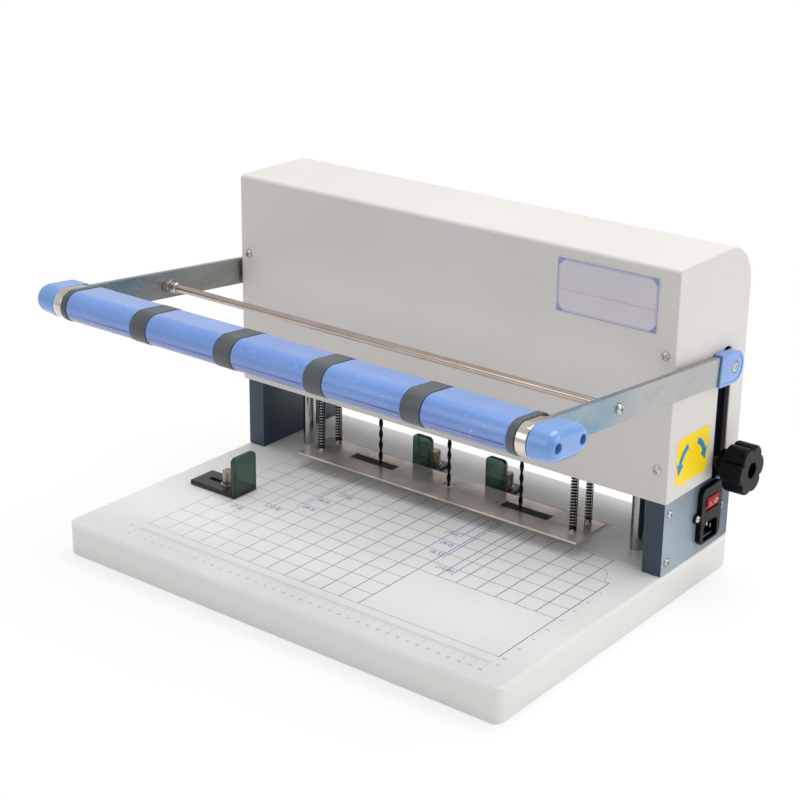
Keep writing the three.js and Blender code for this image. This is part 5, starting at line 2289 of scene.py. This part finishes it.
@dataclass
class Clamp:
    """The pressure plate on its four sprung rods."""

    level: float = 47.0
    rod_x: float = 143.0
    rod_ys: tuple[tuple[str, float], ...] = (("front", 62.5), ("rear", 87.5))
    rod_radius: float = 2.0
    foot_radius: float = 3.6
    foot_span: Span = (0.25, 1.75)
    collar_radius: float = 4.5
    collar_span: Span = (67.25, 70.25)
    rod_top: float = 73.25
    spring_mean: float = 3.1
    spring_wire: float = 1.1
    spring_span: Span = (2.1, 56.65)
    spring_turns: float = 18.0
    stroke: float = 12.7

    def build(self) -> None:
        """Make the plate, the rods and the springs."""
        plate = Stock.copied("pressure_plate").softened(0.35)
        fit("pressure_bar", plate, "clamp", Coat.MIRROR, "pressure_plate")
        for side in Side:
            for row, y in self.rod_ys:
                self._rod(f"{side}_{row}", (side.value * self.rod_x, y, self.level))

    def _rod(self, name: str, at: Point) -> None:
        """Make one rod with its spring.

        Args:
            name: which of the four.
            at: where it stands on the plate.
        """
        radius, foot, collar = self.rod_radius, self.foot_radius, self.collar_radius
        foot_low, foot_high = self.foot_span
        low, high = self.collar_span
        rod = Stock.turned(
            (
                (0, foot_low), (foot, foot_low), (foot, foot_high - 0.4), (foot - 0.4, foot_high),
                (radius, foot_high), (radius, low), (collar, low), (collar, high - 0.5),
                (collar - 0.5, high), (radius, high), (radius, self.rod_top - 0.5),
                (radius - 0.5, self.rod_top), (0, self.rod_top),
            ),
            28,
        ).moved(at)
        fit(f"{name}_rod", rod, "clamp", Coat.CHROME, f"{name}_guide_rod")
        low, high = self.spring_span
        start = (at[0], at[1], at[2] + low)
        spring = Stock.coil(
            self.spring_mean, self.spring_wire, high - low, self.spring_turns, 1.2
        ).moved(start)
        coil = fit(f"{name}_coil", spring, "clamp", Coat.SPRING, f"{name}_spring")
        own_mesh(coil)


# Paper gauges


@dataclass
class PaperGauge:
    """An acrylic gauge with the brass thumbscrew and the washer that hold it."""

    name: str
    body: str
    screw_at: Span
    washer_radius: float
    washer_span: Span = (36.85, 38.05)
    head_radius: float = 5.75
    head_span: Span = (38.15, 51.15)
    ridges: int = 36
    slot_width: float = 1.4
    slot_depth: float = 2.5
    valley: float = 0.95
    shank_radius: float = 2.0
    shank_bottom: float = 22.0

    def build(self) -> None:
        """Make the gauge, the washer and the thumbscrew."""
        gauge = Stock.copied(self.name).softened(0.7, 3)
        fit(f"{self.name}_acrylic", gauge, self.body, Coat.ACRYLIC, self.name)
        self._washer()
        self._thumbscrew()

    def _washer(self) -> None:
        """Make the washer."""
        low, high = self.washer_span
        bore, outer = self.shank_radius + 0.3, self.washer_radius
        washer = Stock.turned(
            (
                (bore, low), (outer - 0.2, low), (outer, low + 0.2), (outer, high - 0.3),
                (outer - 0.3, high), (bore, high), (bore, low),
            ),
            40,
        ).moved((*self.screw_at, 0))
        fit(f"{self.name}_washer", washer, f"{self.body}_screw", Coat.SCREW)

    def _thumbscrew(self) -> None:
        """Make the knurled thumbscrew with its slot."""
        low, high = self.head_span
        head = Stock()
        bmesh.ops.create_circle(
            head.bm, cap_ends=True, segments=2 * self.ridges, radius=self.head_radius,
            matrix=Matrix.Translation((0, 0, low)),
        )
        for index, corner in enumerate(head.bm.verts):
            if index % 2:
                corner.co.x *= self.valley
                corner.co.y *= self.valley
        head.extruded((0, 0, high - low))
        head.rimmed(Axis.Z, high, 0.7, 2).rimmed(Axis.Z, low, 0.4, 1)
        depth = (high - self.slot_depth, high + CLEAR)
        head.without(Stock.block(around(0, 9), around(0, self.slot_width / 2), depth))
        shank = Stock.rod(Axis.Z, self.shank_radius, (0, 0), (self.shank_bottom, low + 0.5), 24)
        head.with_pieces(shank).moved((*self.screw_at, 0))
        fit(
            f"{self.name}_thumbscrew", head, f"{self.body}_screw", Coat.BRASS,
            f"{self.name}_screw",
        )


# Studio


@dataclass
class Lamp:
    """A soft rectangular studio lamp that points at the machine."""

    name: str
    at: Point
    size: float
    power: float
    aim: Point = (0.0, 0.03, 0.12)

    def hang(self) -> None:
        """Hang the lamp."""
        data = bpy.data.lights.new(self.name, "AREA")
        data.shape = "SQUARE"
        data.size = self.size
        data.energy = self.power
        turn = (Vector(self.aim) - Vector(self.at)).to_track_quat("-Z", "Y").to_matrix()
        put(self.name, data).matrix_world = Matrix.Translation(self.at) @ turn.to_4x4()


@dataclass
class Studio:
    """The camera, the lamps, the world and the pale floor."""

    camera_at: Point = (0.89572, -1.1525, 0.71606)
    right: Point = (0.795855, 0.605218, 0.018043)
    up: Point = (-0.221566, 0.263367, 0.938907)
    back: Point = (0.563492, -0.751232, 0.343698)
    lens: float = 81.059
    shift: Span = (-0.03714, -0.03922)
    sky: float = 0.6
    mirrored_sky: float = 0.7
    floor_half: float = 9000.0
    floor_drop: float = 0.4
    fade_from: float = 280.0
    fade_reach: float = 240.0
    lamps: tuple[Lamp, ...] = (
        Lamp("top_lamp", (0.1, 0.35, 1.9), 1.4, 24.0),
        Lamp("side_lamp", (1.7, 0.55, 0.9), 1.0, 8.5),
        Lamp("front_lamp", (-0.7, -1.9, 1.2), 1.2, 5.0),
    )

    def build(self) -> None:
        """Set everything up."""
        self._camera()
        for lamp in self.lamps:
            lamp.hang()
        self._world()
        self._floor()
        bpy.context.scene.view_settings.view_transform = "Standard"

    def _camera(self) -> None:
        """Place the camera at the photograph's point of view."""
        data = bpy.data.cameras.new("studio_camera")
        data.sensor_fit = "HORIZONTAL"
        data.sensor_width = 36.0
        data.lens = self.lens
        data.shift_x, data.shift_y = self.shift
        data.clip_end = 60.0
        camera = put("studio_camera", data)
        turn = Matrix((self.right, self.up, self.back)).transposed().to_4x4()
        camera.matrix_world = Matrix.Translation(self.camera_at) @ turn
        bpy.context.scene.camera = camera

    def _world(self) -> None:
        """Light the machine evenly, show white behind it and a dimmer sky in its gloss."""
        world = bpy.data.worlds.new("studio_world")
        tree = Tree(world)
        light, seen, dim = (
            tree.wire("ShaderNodeBackground", {}, {"Color": WHITE, "Strength": strength})
            for strength in (self.sky, 1.0, self.mirrored_sky)
        )
        behind = tree.ray("Camera").greatest(tree.ray("Transmission"))
        sky = tree.blended(tree.ray("Glossy"), tree.blended(behind, light, seen), dim)
        tree.node("ShaderNodeOutputWorld", {}, {0: sky})
        bpy.context.scene.world = world

    def _floor(self) -> None:
        """Lay the pale floor, which takes a faint shadow and fades to white further out."""
        stock = Stock()
        bmesh.ops.create_grid(stock.bm, x_segments=1, y_segments=1, size=self.floor_half)
        mesh = stock.moved((0, 0, -self.floor_drop)).mesh("studio_floor")
        graph = Graph("studio_floor")
        pale = graph.mix(graph.noise(0.002, 2.0), srgb(244, 244, 244), srgb(248, 248, 248))
        matt = graph.wire("ShaderNodeBsdfDiffuse", {}, {"Color": pale})
        white = graph.wire("ShaderNodeEmission", {}, {"Color": WHITE, "Strength": 1.0})
        length = {"operation": "LENGTH"}
        apart = graph.wire("ShaderNodeVectorMath", length, {0: graph.spot}, "Value")
        fade = ((apart - self.fade_from) / self.fade_reach).kept()
        share = graph.ray("Camera") * (0.7 + fade * 0.3)
        mesh.materials.append(graph.closed(graph.blended(share, matt, white)))
        put("studio_floor", mesh)


def main() -> None:
    """Build the machine and its studio."""
    logging.basicConfig(level=logging.INFO, format="%(name)s: %(message)s")
    Studio().build()
    Table().build()
    Uprights().build()
    Hood().build()
    PowerInlet().build()
    Lever().build()
    Carriage().build()
    Clamp().build()
    for name, body, place, washer_radius in (
        ("side_gauge", "side_stop", (-172.0, -36.5), 7.3),
        ("left_back_gauge", "left_back_stop", (-54.0, 124.5), 6.3),
        ("right_back_gauge", "right_back_stop", (31.0, 124.5), 6.3),
    ):
        PaperGauge(name, body, place, washer_radius).build()


if __name__ == "__main__":
    main()
